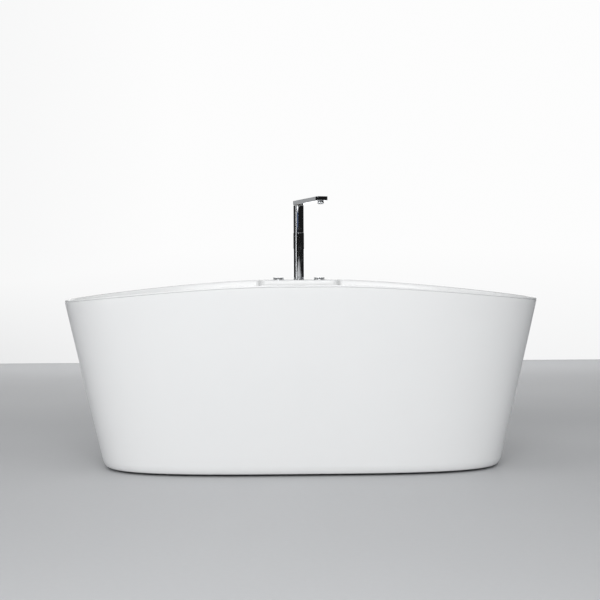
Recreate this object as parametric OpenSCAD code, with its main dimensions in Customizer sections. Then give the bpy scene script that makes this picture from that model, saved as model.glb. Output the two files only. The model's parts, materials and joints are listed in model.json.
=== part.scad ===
// Freestanding bathtub with a deck-mounted tap, a pop-up waste and an overflow.
// Origin: on the floor, under the middle of the tub. X runs along the tub, Y from the bather's open
// side to the tap side, Z up. All sizes are millimetres.

/* [Outer shape] */
// Length at the rim
top_l = 1700; // [1400:10:2000]
// Width at the rim
top_w = 820; // [740:10:980]
// Length at the foot of the skirt
base_l = 1415; // [1180:10:1500]
// Width at the foot of the skirt
base_w = 650; // [600:10:700]
// Height of the rim halfway along the long sides
mid_h = 651; // [560:1:760]
// Height of the rim at the two ends
end_h = 592; // [500:1:640]
// Roundness of the rim's outline: 2 is an ellipse, higher is squarer
rim_power = 2.5; // [2.2:0.1:3.2]
// Roundness of the foot's outline
base_power = 3.4; // [2.6:0.1:4.0]
// Open gap between the floor and the skirt
floor_gap = 9; // [8:1:14]

/* [Basin] */
// Thickness of the moulded sheet
wall_t = 6; // [5:0.5:8]
// Width of the rim from its outer edge to the inside edge
rim_w = 28; // [26:1:34]
// Height of the inside floor above the ground
floor_z = 150; // [146:1:170]
// How far each end of the inside floor stops short of the rim's end
end_slope = 250; // [200:5:280]
// How far each side of the inside floor stops short of the rim's side
side_slope = 148; // [130:2:160]
// Fall of the inside floor towards the waste
floor_fall = 5; // [3:1:8]

/* [Tap deck] */
// Width of the deck along the rim
deck_w = 310; // [290:5:360]
// Depth of the deck from the rim's outer edge
deck_d = 110; // [104:1:130]
// Distance of the tap's axis from the rim's outer edge
tap_inset = 60; // [56:1:64]
// Distance of each valve from the column's axis
valve_pitch = 80; // [76:1:84]

/* [Spout] */
// Height of the column above the deck
column_h = 291; // [240:1:340]
// Diameter of the upper part of the column
column_d = 40.5; // [39:0.5:42]
// Reach of the arm from the column's axis to its front face
arm_reach = 206; // [160:2:240]
// Width of the arm
arm_w = 42; // [41:0.5:46]
// Thickness of the arm
arm_t = 16; // [15:0.5:20]
// Upward tilt of the arm
arm_tilt = 3; // [0:0.5:5]
// Turn of the arm from square to the rim, as drawn
arm_turn = 25; // [-55:1:55]

/* [Knobs] */
// Diameter of a knob
knob_d = 42; // [38:1:44]
// Height of a knob
knob_h = 6.2; // [6:0.2:12]

/* [Waste and overflow] */
// Diameter of the waste hole
waste_hole_d = 52; // [50:1:54]
// Diameter of the stopper
stopper_d = 60; // [58:1:66]
// Travel of the stopper from shut to open
stopper_travel = 9; // [6:1:10]
// Height of the overflow's centre above the ground
overflow_z = 520; // [500:5:540]
// Diameter of the outlet spigot
outlet_d = 40; // [39:1:41]

/* [Support frame] */
// Outside size of the square steel tube
tube_s = 30; // [25:1:32]
// Length of the two long rails
rail_l = 1000; // [960:10:1060]
// Distance of each rail from the middle
rail_y = 150; // [140:5:160]
// Distance of the outer cross tubes from the middle
cross_far = 450; // [420:10:460]
// Distance of the inner cross tubes from the middle
cross_near = 170; // [150:10:200]
// Length of a cross tube
cross_l = 500; // [480:10:510]
// Diameter of a foot's pad
pad_d = 50; // [40:1:56]

/* [Hidden] */
$fn = 64;
touch = 0.3;
over = 1;

// ---- Outline of the tub -------------------------------------------------------------------------

top_a = top_l / 2;
top_b = top_w / 2;
base_a = base_l / 2;
base_b = base_w / 2;
foot_a = top_a - end_slope;
foot_b = top_b - side_slope;
floor_power = 3.0;

// The middle of each long side is level, so the tap stands on a flat deck; beyond it the rim falls.
level_half = 108;
arch_power = 1.5;
function rim_z(x) =
    mid_h - (mid_h - end_h) * pow(max(0, (abs(x) - level_half) / (top_a - level_half)), arch_power);

// An outline is sampled by angle round both ends, and by distance along the middle of each side.
BY_ANGLE = 0;
BY_X = 1;
quarter_steps = 16;
last_angle = 75;
convex_r = 24;
concave_r = 14;
side_lean = 1;
arc_steps = 3;
deck_half = deck_w / 2;
deck_recess = deck_d - rim_w;
middle_x = level_half / 2;
plain_x = 150;
window_a = foot_a + 0.48 * (top_a - rim_w - foot_a);

// Far side of the deck window at an inward offset: [x, share of the deck's projection].
function deck_half_window(offset) = concat(
    [for (k = [arc_steps : -1 : 0])
        let (turn = 90 * k / arc_steps, r = concave_r + offset)
        [deck_half + side_lean - offset + r * (1 - cos(turn)), r / deck_recess * (1 - sin(turn))]],
    [for (k = [arc_steps : -1 : 0])
        let (turn = 90 * k / arc_steps, r = convex_r - offset)
        [deck_half - convex_r - side_lean + r * sin(turn), 1 - r / deck_recess * (1 - cos(turn))]],
    [[level_half, 1], [middle_x, 1]]
);
function mirrored_window(w) = [for (k = [len(w) - 1 : -1 : 0]) [-w[k][0], w[k][1]]];
function samples(offset) =
    let (half = deck_half_window(offset), step = last_angle / quarter_steps)
    concat(
        [for (k = [0 : quarter_steps]) [BY_ANGLE, k * step, 1, 0]],
        [for (w = concat(half, mirrored_window(half))) [BY_X, w[0], 1, w[1]]],
        [for (k = [quarter_steps : -1 : 0]) [BY_ANGLE, 180 - k * step, 1, 0]],
        [for (k = [1 : quarter_steps]) [BY_ANGLE, 180 + k * step, -1, 0]],
        [for (x = [-plain_x, -middle_x, middle_x, plain_x]) [BY_X, x, -1, 0]],
        [for (k = [quarter_steps : -1 : 1]) [BY_ANGLE, 360 - k * step, -1, 0]]
    );
INSIDE = samples(0);
UNDERSIDE = samples(wall_t);
count = len(INSIDE);

function signed_pow(v, e) = sign(v) * pow(abs(v), e);
function side_y(x, a, b, n) = b * pow(max(0, 1 - pow(abs(x) / a, n)), 1 / n);

// One point of an outline with half sizes a and b, pulled in by recess where the deck projects.
function outline_point(s, a, b, n, recess) =
    s[0] == BY_ANGLE
        ? [a * signed_pow(cos(s[1]), 2 / n), b * signed_pow(sin(s[1]), 2 / n)]
        : let (x = s[1] * min(1, a / window_a)) [x, s[2] * side_y(x, a, b, n) - s[3] * recess];

// Height of the rim above the floor of a sample, read where the sample crosses the rim.
function sample_rim_z(s) = rim_z(outline_point(s, top_a, top_b, rim_power, 0)[0]);

function blend(p, q, t) = p + (q - p) * t;
function curve(p, c, q, t) = blend(blend(p, c, t), blend(c, q, t), t);

// ---- Lofted shells ------------------------------------------------------------------------------

function ring(table, a, b, n, recess, drop) =
    [for (s = table)
        let (p = outline_point(s, a, b, n, recess))
        [p[0], p[1], sample_rim_z(s) - drop]];

module loft(rings, closed) {
    points = [for (r = rings) each r];
    rows = len(rings);
    last = closed ? rows - 1 : rows - 2;
    sides = [for (k = [0 : last], i = [0 : count - 1])
        let (
            j = (i + 1) % count,
            inner = k * count,
            outer = ((k + 1) % rows) * count
        )
        each [[inner + i, outer + j, outer + i], [inner + i, inner + j, outer + j]]];
    caps = closed ? [] : [
        [for (i = [count - 1 : -1 : 0]) i],
        [for (i = [0 : count - 1]) (rows - 1) * count + i]
    ];
    polyhedron(points = points, faces = concat(sides, caps), convexity = 8);
}

// Basin section from the rim's inner edge (share 0) to the wall's foot (share 1).
edge_drop = 6;
deck_soft = 12;
bend_from = 0.8;
bend_to = 0.8;
wall_rows = [0.25, 0.5, 0.68];
bend_rows = [0.25, 0.5, 0.75];
slope_t = wall_t * 1.05;
in_a = top_a - rim_w;
in_b = top_b - rim_w;

// Projection of the deck beyond a wall of half width b, eased where the two meet.
function deck_out(b) =
    let (v = b - (top_b - deck_d))
    (v + sqrt(v * v + deck_soft * deck_soft)) / 2;

function wall_ring(table, share, grow) =
    let (
        a = blend(in_a, foot_a, share) + grow,
        b = blend(in_b, foot_b, share) + grow,
        n = blend(rim_power, floor_power, share),
        recess = deck_out(b - grow)
    )
    [for (s = table)
        let (p = outline_point(s, a, b, n, recess))
        [p[0], p[1], blend(sample_rim_z(s) - edge_drop, floor_z, share)]];

function bend_ring(table, t, grow, sink) =
    let (
        a = curve(blend(in_a, foot_a, bend_from), foot_a, foot_a * bend_to, t) + grow * (1 - t),
        b = curve(blend(in_b, foot_b, bend_from), foot_b, foot_b * bend_to, t) + grow * (1 - t),
        n = blend(blend(rim_power, floor_power, bend_from), floor_power, t),
        recess = deck_out(b - grow) * (1 - t)
    )
    [for (s = table)
        let (
            p = outline_point(s, a, b, n, recess),
            start = blend(sample_rim_z(s) - edge_drop, floor_z, bend_from)
        )
        [p[0], p[1], curve(start, floor_z + floor_fall, floor_z + floor_fall, t) - sink * t]];

function floor_ring(table, share, z) =
    [for (s = table)
        let (p = outline_point(s, foot_a * share, foot_b * share, floor_power, 0))
        [p[0], p[1], z]];

sump_r = 70;
mid_floor = 0.42;
function sump_ring(table, z) =
    [for (s = table)
        let (
            p = outline_point(s, foot_a * mid_floor, foot_b * mid_floor, floor_power, 0),
            turn = atan2(p[1] / foot_b, p[0] / foot_a)
        )
        [sump_r * cos(turn), sump_r * sin(turn), z]];

lip_r = 3;
module basin_shell() {
    rings = concat(
        [sump_ring(INSIDE, floor_z)],
        [floor_ring(INSIDE, mid_floor, floor_z + floor_fall * 0.5)],
        [bend_ring(INSIDE, 1, 0, 0)],
        [for (k = [len(bend_rows) - 1 : -1 : 0]) bend_ring(INSIDE, bend_rows[k], 0, 0)],
        [bend_ring(INSIDE, 0, 0, 0)],
        [for (k = [len(wall_rows) - 1 : -1 : 0]) wall_ring(INSIDE, wall_rows[k], 0)],
        [wall_ring(INSIDE, 0, 0)],
        [ring(INSIDE, in_a + 1.5, in_b + 1.5, rim_power, deck_out(in_b), 2)],
        [ring(INSIDE, in_a + 6, in_b + 6, rim_power, deck_out(in_b), 0)],
        [ring(INSIDE, top_a - lip_r, top_b - lip_r, rim_power, 0, 0)],
        [ring(INSIDE, top_a - 0.9, top_b - 0.9, rim_power, 0, 0.9)],
        [ring(INSIDE, top_a, top_b, rim_power, 0, lip_r)],
        [ring(INSIDE, top_a - 0.6, top_b - 0.6, rim_power, 0, wall_t)],
        [ring(UNDERSIDE, in_a + 10, in_b + 10, rim_power, deck_out(in_b), wall_t)],
        [ring(UNDERSIDE, in_a + slope_t + 0.6, in_b + slope_t + 0.6, rim_power, deck_out(in_b), wall_t + 4)],
        [for (share = wall_rows) wall_ring(UNDERSIDE, share, slope_t)],
        [bend_ring(UNDERSIDE, 0, slope_t, wall_t)],
        [for (t = bend_rows) bend_ring(UNDERSIDE, t, slope_t, wall_t)],
        [bend_ring(UNDERSIDE, 1, slope_t, wall_t)],
        [floor_ring(UNDERSIDE, mid_floor, floor_z + floor_fall * 0.5 - wall_t)],
        [sump_ring(UNDERSIDE, floor_z - wall_t)]
    );
    loft(rings, false);
}

// Skirt: share 0 is the foot's outline at the gap, share 1 is under the rim.
skirt_t = 6;
flange_w = 34;
roll_in = 9;
roll_up = 32;
seam = 0.4;
function skirt_top(s) = sample_rim_z(s) - wall_t - seam;
function skirt_ring(share, inset, lift) =
    let (
        a = blend(base_a, top_a, share) - inset,
        b = blend(base_b, top_b, share) - inset,
        n = blend(base_power, rim_power, share)
    )
    [for (s = INSIDE)
        let (p = outline_point(s, a, b, n, 0))
        [p[0], p[1], blend(floor_gap, skirt_top(s), share) + lift]];

module skirt_shell() {
    rings = concat(
        [skirt_ring(0, flange_w, 0)],
        [for (turn = [0, 25, 50, 70]) skirt_ring(0, roll_in * (1 - sin(turn)), roll_up * (1 - cos(turn)))],
        [skirt_ring(roll_up / mid_h, 0, 0)],
        [skirt_ring(0.5, 0, 0)],
        [skirt_ring(1, 0.6, 0)],
        [skirt_ring(1, skirt_t + 0.6, 0)],
        [skirt_ring(0.5, skirt_t, 0)],
        [skirt_ring(roll_up / mid_h, skirt_t, 0)],
        [skirt_ring(0, roll_in + 6, skirt_t)],
        [skirt_ring(0, flange_w, skirt_t)]
    );
    loft(rings, true);
}

// ---- Small shapes -------------------------------------------------------------------------------

module tube(r_out, r_in, h) {
    difference() {
        cylinder(r = r_out, h = h);
        translate([0, 0, -over])
            cylinder(r = r_in, h = h + 2 * over);
    }
}

module hex_nut(flats, r_in, h) {
    difference() {
        cylinder(d = flats / cos(30), h = h, $fn = 6);
        translate([0, 0, -over])
            cylinder(r = r_in, h = h + 2 * over);
    }
}

// Disc with a rounded upper edge.
module soft_disc(r, h, edge) {
    rotate_extrude()
        union() {
            square([r - edge, h]);
            square([r, h - edge]);
            intersection() {
                translate([r - edge, h - edge])
                    circle(r = edge);
                translate([r - edge, h - edge])
                    square([edge, edge]);
            }
        }
}

module rounded_rect(l, w, r) {
    square([l - 2 * r, w], center = true);
    square([l, w - 2 * r], center = true);
    for (x = [-1, 1], y = [-1, 1])
        translate([x * (l / 2 - r), y * (w / 2 - r)])
            circle(r = r);
}

// ---- Places -------------------------------------------------------------------------------------

tap_y = top_b - tap_inset;
deck_z = mid_h;
deck_board_l = 250;
deck_board_w = 76;
board_t = 12;
board_gap = 0.4;
board_top = rim_z(deck_board_l / 2) - wall_t - board_gap;
board_low = board_top - board_t;
clamp_washer = 3;
clamp_nut = 12;
stud_r = 13;
tap_hole_r = 17;
port_z = deck_z - 84;
valve_x = [-valve_pitch, valve_pitch];

module at_tap() translate([0, tap_y, 0]) children();
module at_hot() translate([-valve_pitch, tap_y, 0]) children();
module at_cold() translate([valve_pitch, tap_y, 0]) children();

overflow_share = (deck_z - edge_drop - overflow_z) / (deck_z - edge_drop - floor_z);
overflow_y = -blend(in_b, foot_b, overflow_share);
wall_lean = atan2(in_b - foot_b, deck_z - edge_drop - floor_z);
module at_overflow() translate([0, overflow_y, overflow_z]) rotate([wall_lean - 90, 0, 0]) children();
overflow_hole_r = 22;

bottom_z = floor_z - wall_t;
board_z = 125;
rail_z = board_z - tube_s;
cross_z = rail_z - tube_s;
cross_x = [-cross_far, -cross_near, cross_near, cross_far];
foot_y = cross_l / 2 - 25;
module at_feet() for (x = cross_x, y = [-foot_y, foot_y]) translate([x, y, 0]) children();

// ---- Shells and boards --------------------------------------------------------------------------

module basin() {
    color("white")
        difference() {
            basin_shell();
            translate([0, 0, bottom_z - 5])
                cylinder(d = waste_hole_d, h = wall_t + 10);
            at_overflow()
                translate([0, 0, -wall_t - 6])
                    cylinder(r = overflow_hole_r, h = wall_t + 14);
            for (x = [valve_x[0], 0, valve_x[1]])
                translate([x, tap_y, deck_z - wall_t - 5])
                    cylinder(r = tap_hole_r, h = wall_t + 10);
        }
}

module skirt() {
    color("whitesmoke")
        skirt_shell();
}

base_board_l = 900;
base_board_w = 370;
module base_board() {
    color("burlywood")
        translate([0, 0, board_z])
            difference() {
                linear_extrude(bottom_z - board_z - touch)
                    rounded_rect(base_board_l, base_board_w, 60);
                translate([0, 0, -over])
                    cylinder(r = 42, h = tube_s);
            }
}

module deck_board() {
    color("tan")
        difference() {
            translate([0, tap_y, board_low])
                linear_extrude(board_t)
                    rounded_rect(deck_board_l, deck_board_w, 8);
            for (x = [valve_x[0], 0, valve_x[1]])
                translate([x, tap_y, board_low - over])
                    cylinder(r = tap_hole_r + 1, h = board_t + 2 * over);
        }
}

// ---- Support frame ------------------------------------------------------------------------------

tube_wall = 2;
module square_tube(l) {
    difference() {
        cube([l, tube_s, tube_s]);
        translate([-over, tube_wall, tube_wall])
            cube([l + 2 * over, tube_s - 2 * tube_wall, tube_s - 2 * tube_wall]);
    }
}

module frame_rails() {
    color("dimgray")
        for (y = [-rail_y, rail_y])
            translate([-rail_l / 2, y - tube_s / 2, rail_z])
                square_tube(rail_l);
}

foot_stud_r = 6;
module frame_cross_tubes() {
    color("gray")
        difference() {
            for (x = cross_x)
                translate([x + tube_s / 2, -cross_l / 2, cross_z])
                    rotate([0, 0, 90])
                        square_tube(cross_l);
            at_feet()
                translate([0, 0, cross_z - over])
                    cylinder(r = foot_stud_r + 0.5, h = tube_wall + 2 * over);
        }
}

bracket_w = 30;
bracket_t = 3;
flange_top = floor_gap + skirt_t;
function skirt_foot_y(x) = side_y(abs(x) + bracket_w / 2, base_a, base_b, base_power);
module skirt_brackets() {
    color("silver")
        for (x = cross_x, side = [-1, 1])
            scale([1, side, 1])
                difference() {
                    translate([x - bracket_w / 2, cross_l / 2, flange_top + touch])
                        union() {
                            cube([bracket_w, bracket_t, rail_z - flange_top - touch]);
                            cube([bracket_w, skirt_foot_y(x) - 20 - cross_l / 2, bracket_t]);
                        }
                    translate([x, skirt_foot_y(x) - 28, flange_top])
                        cylinder(r = 2.6, h = 10);
                }
}

module skirt_screws() {
    color("lightgray")
        for (x = cross_x, side = [-1, 1])
            translate([x, side * (skirt_foot_y(x) - 28), flange_top + touch])
                union() {
                    translate([0, 0, bracket_t])
                        cylinder(r = 4.5, h = 3);
                    cylinder(r = 2.3, h = bracket_t + over);
                }
}

pad_h = 9;
module foot_pads() {
    color("black")
        at_feet()
            difference() {
                soft_disc(pad_d / 2, pad_h, 2);
                translate([0, 0, pad_h - 4])
                    cylinder(r = foot_stud_r + 0.1, h = 10);
            }
}

module foot_studs() {
    color("lightgray")
        at_feet()
            union() {
                translate([0, 0, pad_h - 4])
                    cylinder(r = foot_stud_r, h = cross_z + 20 - pad_h);
                translate([0, 0, pad_h + 4])
                    cylinder(d = 17 / cos(30), h = 7, $fn = 6);
            }
}

module foot_nuts() {
    color("silver")
        at_feet()
            translate([0, 0, cross_z - 10])
                hex_nut(19, foot_stud_r + 0.1, 10);
}

// ---- Waste --------------------------------------------------------------------------------------

tail_r = 23.9;
tail_in = 20;
seat_z = floor_z + 1.5;
seat_h = 3;
seat_ledge = 0.5;
module waste_body() {
    color("silver")
        difference() {
            union() {
                translate([0, 0, seat_z])
                    soft_disc(35, seat_h, 1.2);
                translate([0, 0, 88])
                    cylinder(r = tail_r, h = seat_z - 88 + 0.5);
            }
            translate([0, 0, 87])
                cylinder(r = tail_in, h = 80);
            translate([0, 0, seat_z + seat_ledge])
                cylinder(r = 26.5, h = 10);
        }
}

module waste_gasket() {
    color("dimgray")
        translate([0, 0, floor_z])
            tube(34, tail_r + 0.2, seat_z - floor_z);
}

module waste_washer() {
    color("dimgray")
        translate([0, 0, bottom_z - 3])
            tube(35, tail_r + 0.2, 3);
}

module waste_nut() {
    color("silver")
        translate([0, 0, bottom_z - 15])
            difference() {
                union() {
                    translate([0, 0, 9])
                        cylinder(r = 36, h = 3);
                    cylinder(r = 32, h = 10);
                }
                translate([0, 0, -over])
                    cylinder(r = tail_r + 0.1, h = 20);
                for (k = [0 : 7])
                    rotate([0, 0, 45 * k])
                        translate([34, 0, -over])
                            cylinder(r = 5, h = 8);
            }
}

stem_r = 4;
guide_z = 96;
module waste_guide() {
    color("gainsboro")
        translate([0, 0, guide_z])
            difference() {
                union() {
                    cylinder(r = 8, h = 14);
                    tube(tail_in - 0.1, tail_in - 2.5, 6);
                    for (k = [0 : 2])
                        rotate([0, 0, 120 * k])
                            translate([6, -1.5, 0])
                                cube([12.5, 3, 6]);
                }
                translate([0, 0, -over])
                    cylinder(r = stem_r + 0.06, h = 20);
            }
}

tee_z = 58;
tee_h = 50;
branch_z = 75;
pipe_r = 9;
outlet_r = outlet_d / 2;
module waste_tee() {
    color("gainsboro")
        difference() {
            union() {
                translate([0, 0, tee_z])
                    cylinder(r = 29, h = tee_h);
                translate([0, 0, tee_z + tee_h - 8])
                    cylinder(r = 32, h = 8);
                translate([0, 0, branch_z])
                    rotate([90, 0, 0])
                        cylinder(r = 13, h = 58);
            }
            translate([0, 0, 87])
                cylinder(r = tail_r + 0.2, h = 30);
            translate([0, 0, tee_z - over])
                cylinder(r = outlet_r - 0.8, h = outlet_neck + 2);
            translate([0, 0, tee_z + 10])
                cylinder(r = tail_in - 3, h = 25);
            translate([0, 0, branch_z])
                rotate([90, 0, 0])
                    cylinder(r = pipe_r - 1.5, h = 60);
            translate([0, -40, branch_z])
                rotate([90, 0, 0])
                    cylinder(r = pipe_r + 0.2, h = 20);
        }
}

outlet_l = 40;
outlet_neck = 12;
outlet_end = tee_z - touch - outlet_l;
module waste_outlet() {
    color("white")
        difference() {
            union() {
                translate([0, 0, outlet_end])
                    cylinder(r = outlet_r, h = outlet_l);
                translate([0, 0, outlet_end])
                    cylinder(r = outlet_r - 1, h = outlet_l + outlet_neck);
            }
            translate([0, 0, outlet_end - over])
                cylinder(r = outlet_r - 3, h = outlet_l + outlet_neck + 2 * over);
        }
}

cap_z = seat_z + seat_h + 0.5;
module stopper_cap() {
    color("silver")
        difference() {
            translate([0, 0, cap_z])
                soft_disc(stopper_d / 2, 5, 3);
            translate([0, 0, cap_z - over])
                cylinder(r = stem_r + 0.02, h = 3);
        }
}

module stopper_seal() {
    color("dimgray")
        translate([0, 0, seat_z + seat_ledge + touch])
            tube(25.5, 20, cap_z - seat_z - seat_ledge - touch);
}

module stopper_stem() {
    color("goldenrod")
        translate([0, 0, guide_z - stopper_travel - over])
            cylinder(r = stem_r, h = cap_z + 1.9 - guide_z + stopper_travel + over);
}

// ---- Overflow -----------------------------------------------------------------------------------

behind = wall_t + 0.5;
cup_back = behind + 22.5;
branch_in = behind + 12.7;
stub_end = 48;
module overflow_cover() {
    color("silver")
        at_overflow()
            difference() {
                translate([0, 0, 0.8])
                    soft_disc(32, 9, 3);
                translate([0, 0, -over])
                    cylinder(r = 28.5, h = 6.5);
                translate([0, 20, -over])
                    translate([-14, 0, 0])
                        cube([28, 20, 6.5]);
                translate([0, 0, -over])
                    cylinder(r = 3.3, h = 20);
                translate([0, 0, 7.6])
                    cylinder(r = 6, h = 5);
            }
}

module overflow_screw() {
    color("lightgray")
        at_overflow()
            union() {
                translate([0, 0, 7.6])
                    soft_disc(5.8, 2.4, 1);
                translate([0, 0, -cup_back + 1])
                    cylinder(r = 3, h = cup_back + 8);
            }
}

module overflow_gasket() {
    color("dimgray")
        at_overflow()
            translate([0, 0, -behind - 3])
                tube(31, 23, 2.8);
}

module overflow_elbow() {
    color("gainsboro")
        at_overflow()
            difference() {
                union() {
                    translate([0, 0, -behind - 6])
                        cylinder(r = 31, h = 3);
                    translate([0, 0, -cup_back])
                        cylinder(r = 26, h = cup_back - behind - 4);
                    translate([0, 10, -branch_in])
                        rotate([-90, 0, 0])
                            cylinder(r = pipe_r, h = stub_end - 10);
                }
                difference() {
                    translate([0, 0, -cup_back + 2])
                        cylinder(r = 23, h = cup_back);
                    translate([0, 0, -cup_back])
                        cylinder(r = 6, h = cup_back - 12);
                }
                translate([0, 0, -cup_back - over])
                    cylinder(r = 3.05, h = cup_back);
                translate([0, 20, -branch_in])
                    rotate([-90, 0, 0])
                        cylinder(r = pipe_r - 2, h = stub_end);
            }
}

// The pipe runs down beside the basin's wall to an elbow under the rails, and on into the tee's branch.
bend_r = 36;
bend_socket = 16;
collar_h = 14;
pipe_in = pipe_r - 2;
pipe_top = [
    overflow_y + stub_end * sin(wall_lean) - branch_in * cos(wall_lean),
    overflow_z - stub_end * cos(wall_lean) - branch_in * sin(wall_lean)
];
pipe_bend_z = branch_z + bend_r - bend_r * sin(wall_lean);
pipe_drop = (pipe_top[1] - pipe_bend_z) / cos(wall_lean);
pipe_bend_y = pipe_top[0] + pipe_drop * sin(wall_lean);
bend_mid_y = pipe_bend_y + bend_r * cos(wall_lean);
branch_end = -42;

module down_pipe() translate([0, pipe_top[0], pipe_top[1]]) rotate([wall_lean - 180, 0, 0]) children();
module along_branch() translate([0, bend_mid_y, branch_z]) rotate([-90, 0, 0]) children();

module overflow_pipe() {
    color("gainsboro")
        down_pipe()
            difference() {
                union() {
                    cylinder(r = pipe_r, h = pipe_drop - touch);
                    translate([0, 0, -collar_h])
                        cylinder(r = pipe_r + 2.2, h = collar_h + 6);
                }
                translate([0, 0, -over])
                    cylinder(r = pipe_in, h = pipe_drop + 2 * over);
                translate([0, 0, -collar_h - over])
                    cylinder(r = pipe_r + 0.1, h = collar_h + over);
            }
}

module bend_sweep(r, extra) {
    translate([0, bend_mid_y, branch_z + bend_r])
        rotate([90, 0, 90])
            rotate([0, 0, 180 + wall_lean - extra])
                rotate_extrude(angle = 90 - wall_lean + 2 * extra)
                    translate([bend_r, 0])
                        circle(r = r);
}

module overflow_bend() {
    color("gainsboro")
        difference() {
            union() {
                bend_sweep(pipe_r + 1.2, 0);
                down_pipe()
                    translate([0, 0, pipe_drop - bend_socket])
                        cylinder(r = pipe_r + 2.5, h = bend_socket + 2);
                along_branch()
                    translate([0, 0, -2])
                        cylinder(r = pipe_r + 2.5, h = bend_socket + 2);
            }
            bend_sweep(pipe_in - 0.5, 1);
            down_pipe()
                translate([0, 0, pipe_drop - bend_socket - over])
                    cylinder(r = pipe_r + 0.1, h = bend_socket + over);
            along_branch()
                cylinder(r = pipe_r + 0.1, h = bend_socket + over);
        }
}

module branch_pipe() {
    color("gainsboro")
        along_branch()
            translate([0, 0, touch])
                tube(pipe_r, pipe_in, branch_end - bend_mid_y - touch);
}

// ---- Column and spout ---------------------------------------------------------------------------

lower_r = column_d / 2 + 1;
upper_r = column_d / 2;
column_foot = deck_z + 1.5;
column_top = deck_z + column_h;
split_z = deck_z + column_h * 0.63;
bore_wide = 14;
bore_slim = 9.3;
riser_r = 9;
module column_gasket() {
    color("dimgray")
        at_tap()
            translate([0, 0, deck_z])
                tube(lower_r - 1, stud_r + 0.2, column_foot - deck_z);
}

module column_lower() {
    color("silver")
        at_tap()
            translate([0, 0, column_foot])
                tube(lower_r, bore_wide, split_z - column_foot);
}

socket_h = 55;
spigot_h = 20;
module column_upper() {
    color("silver")
        at_tap()
            difference() {
                union() {
                    translate([0, 0, split_z])
                        cylinder(r = upper_r, h = column_top - split_z);
                    translate([0, 0, split_z - spigot_h])
                        cylinder(r = bore_wide - 0.1, h = spigot_h + over);
                }
                translate([0, 0, split_z - spigot_h - over])
                    cylinder(r = bore_slim, h = column_h);
                translate([0, 0, column_top - socket_h])
                    cylinder(r = bore_wide, h = socket_h + over);
            }
}

manifold_low = port_z - 17;
riser_low = manifold_low + 12;
riser_high = column_top - socket_h + 4;
module column_riser() {
    color("peru")
        at_tap()
            translate([0, 0, riser_low])
                tube(riser_r, riser_r - 2, riser_high - riser_low);
}

link_r = 6;
module tap_manifold() {
    color("goldenrod")
        at_tap()
            difference() {
                union() {
                    translate([0, 0, manifold_low])
                        cylinder(r = 17, h = 34);
                    translate([0, 0, manifold_low])
                        cylinder(r = stud_r, h = column_foot + 18 - manifold_low);
                    translate([-31, 0, port_z])
                        rotate([0, 90, 0])
                            cylinder(r = 9, h = 62);
                }
                translate([0, 0, manifold_low + 6])
                    cylinder(r = riser_r - 2, h = 20);
                translate([0, 0, riser_low - 0.2])
                    cylinder(r = bore_slim, h = 200);
                for (side = [0, 180])
                    rotate([0, 0, side])
                        translate([18, 0, port_z])
                            rotate([0, 90, 0])
                                cylinder(r = link_r + 0.2, h = 20);
                translate([-20, 0, port_z])
                    rotate([0, 90, 0])
                        cylinder(r = link_r - 1.5, h = 40);
            }
}

module column_washer() {
    color("silver")
        at_tap()
            translate([0, 0, board_low - clamp_washer])
                tube(23, stud_r + 0.2, clamp_washer);
}

module column_nut() {
    color("goldenrod")
        at_tap()
            translate([0, 0, board_low - clamp_washer - clamp_nut])
                hex_nut(36, stud_r + 0.1, clamp_nut);
}

glide_h = 1.6;
module swivel_washer() {
    color("white")
        at_tap()
            translate([0, 0, column_top])
                tube(upper_r - 0.4, bore_wide - 1.5, glide_h);
}

bush_r = 12;
module swivel_bush() {
    color("white")
        at_tap()
            translate([0, 0, column_top - 40])
                tube(bore_wide - 0.05, bush_r, 39);
}

running = 0.05;
journal_r = bush_r - running;
arm_z = column_top + glide_h + touch + arm_t / 2;
arm_aim = -90 + arm_turn;
aerator_back = 18;
aerator_r = 12;
aerator_h = 12;
aerator_x = arm_reach - aerator_back;
water_r = 5;
seal_z = [column_top - 32, column_top - 24];
module in_arm() at_tap() translate([0, 0, arm_z]) rotate([0, 0, arm_aim]) children();
module tilted() in_arm() rotate([0, -arm_tilt, 0]) children();

module spout_arm() {
    color("silver")
        difference() {
            union() {
                in_arm()
                    translate([0, 0, -arm_t / 2])
                        cylinder(r = arm_w / 2, h = arm_t);
                tilted()
                    rotate([90, 0, 90])
                        linear_extrude(arm_reach)
                            rounded_rect(arm_w, arm_t, 1.6);
                at_tap()
                    translate([0, 0, column_top - 38])
                        cylinder(r = journal_r, h = 38 + glide_h + touch + 2);
            }
            at_tap()
                translate([0, 0, column_top - 39])
                    cylinder(r = 8, h = 44);
            tilted()
                rotate([0, 90, 0])
                    cylinder(r = water_r, h = aerator_x);
            tilted()
                translate([aerator_x, 0, -arm_t])
                    cylinder(r = 8, h = arm_t);
            at_tap()
                for (z = seal_z)
                    translate([0, 0, z - 1.1])
                        difference() {
                            cylinder(r = journal_r + 2, h = 2.2);
                            translate([0, 0, -over])
                                cylinder(r = journal_r - 1.8, h = 5);
                        }
        }
}

module swivel_seals() {
    color("black")
        at_tap()
            for (z = seal_z)
                translate([0, 0, z])
                    rotate_extrude()
                        translate([journal_r - 0.9, 0])
                            circle(r = 0.85);
}

module aerator_ring() {
    color("silver")
        tilted()
            translate([aerator_x, 0, -arm_t / 2])
                rotate([180, 0, 0])
                    difference() {
                        soft_disc(aerator_r, aerator_h, 2.5);
                        translate([0, 0, -over])
                            cylinder(r = 9, h = aerator_h + 2 * over);
                    }
}

module aerator_insert() {
    color("gray")
        tilted()
            translate([aerator_x, 0, -arm_t / 2 - aerator_h + 0.8])
                difference() {
                    cylinder(r = 8.9, h = 8);
                    for (turn = [0 : 60 : 300], r = [3, 6])
                        rotate([0, 0, turn])
                            translate([r, 0, -over])
                                cylinder(r = 0.9, h = 10);
                }
}

// ---- Valves -------------------------------------------------------------------------------------

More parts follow.
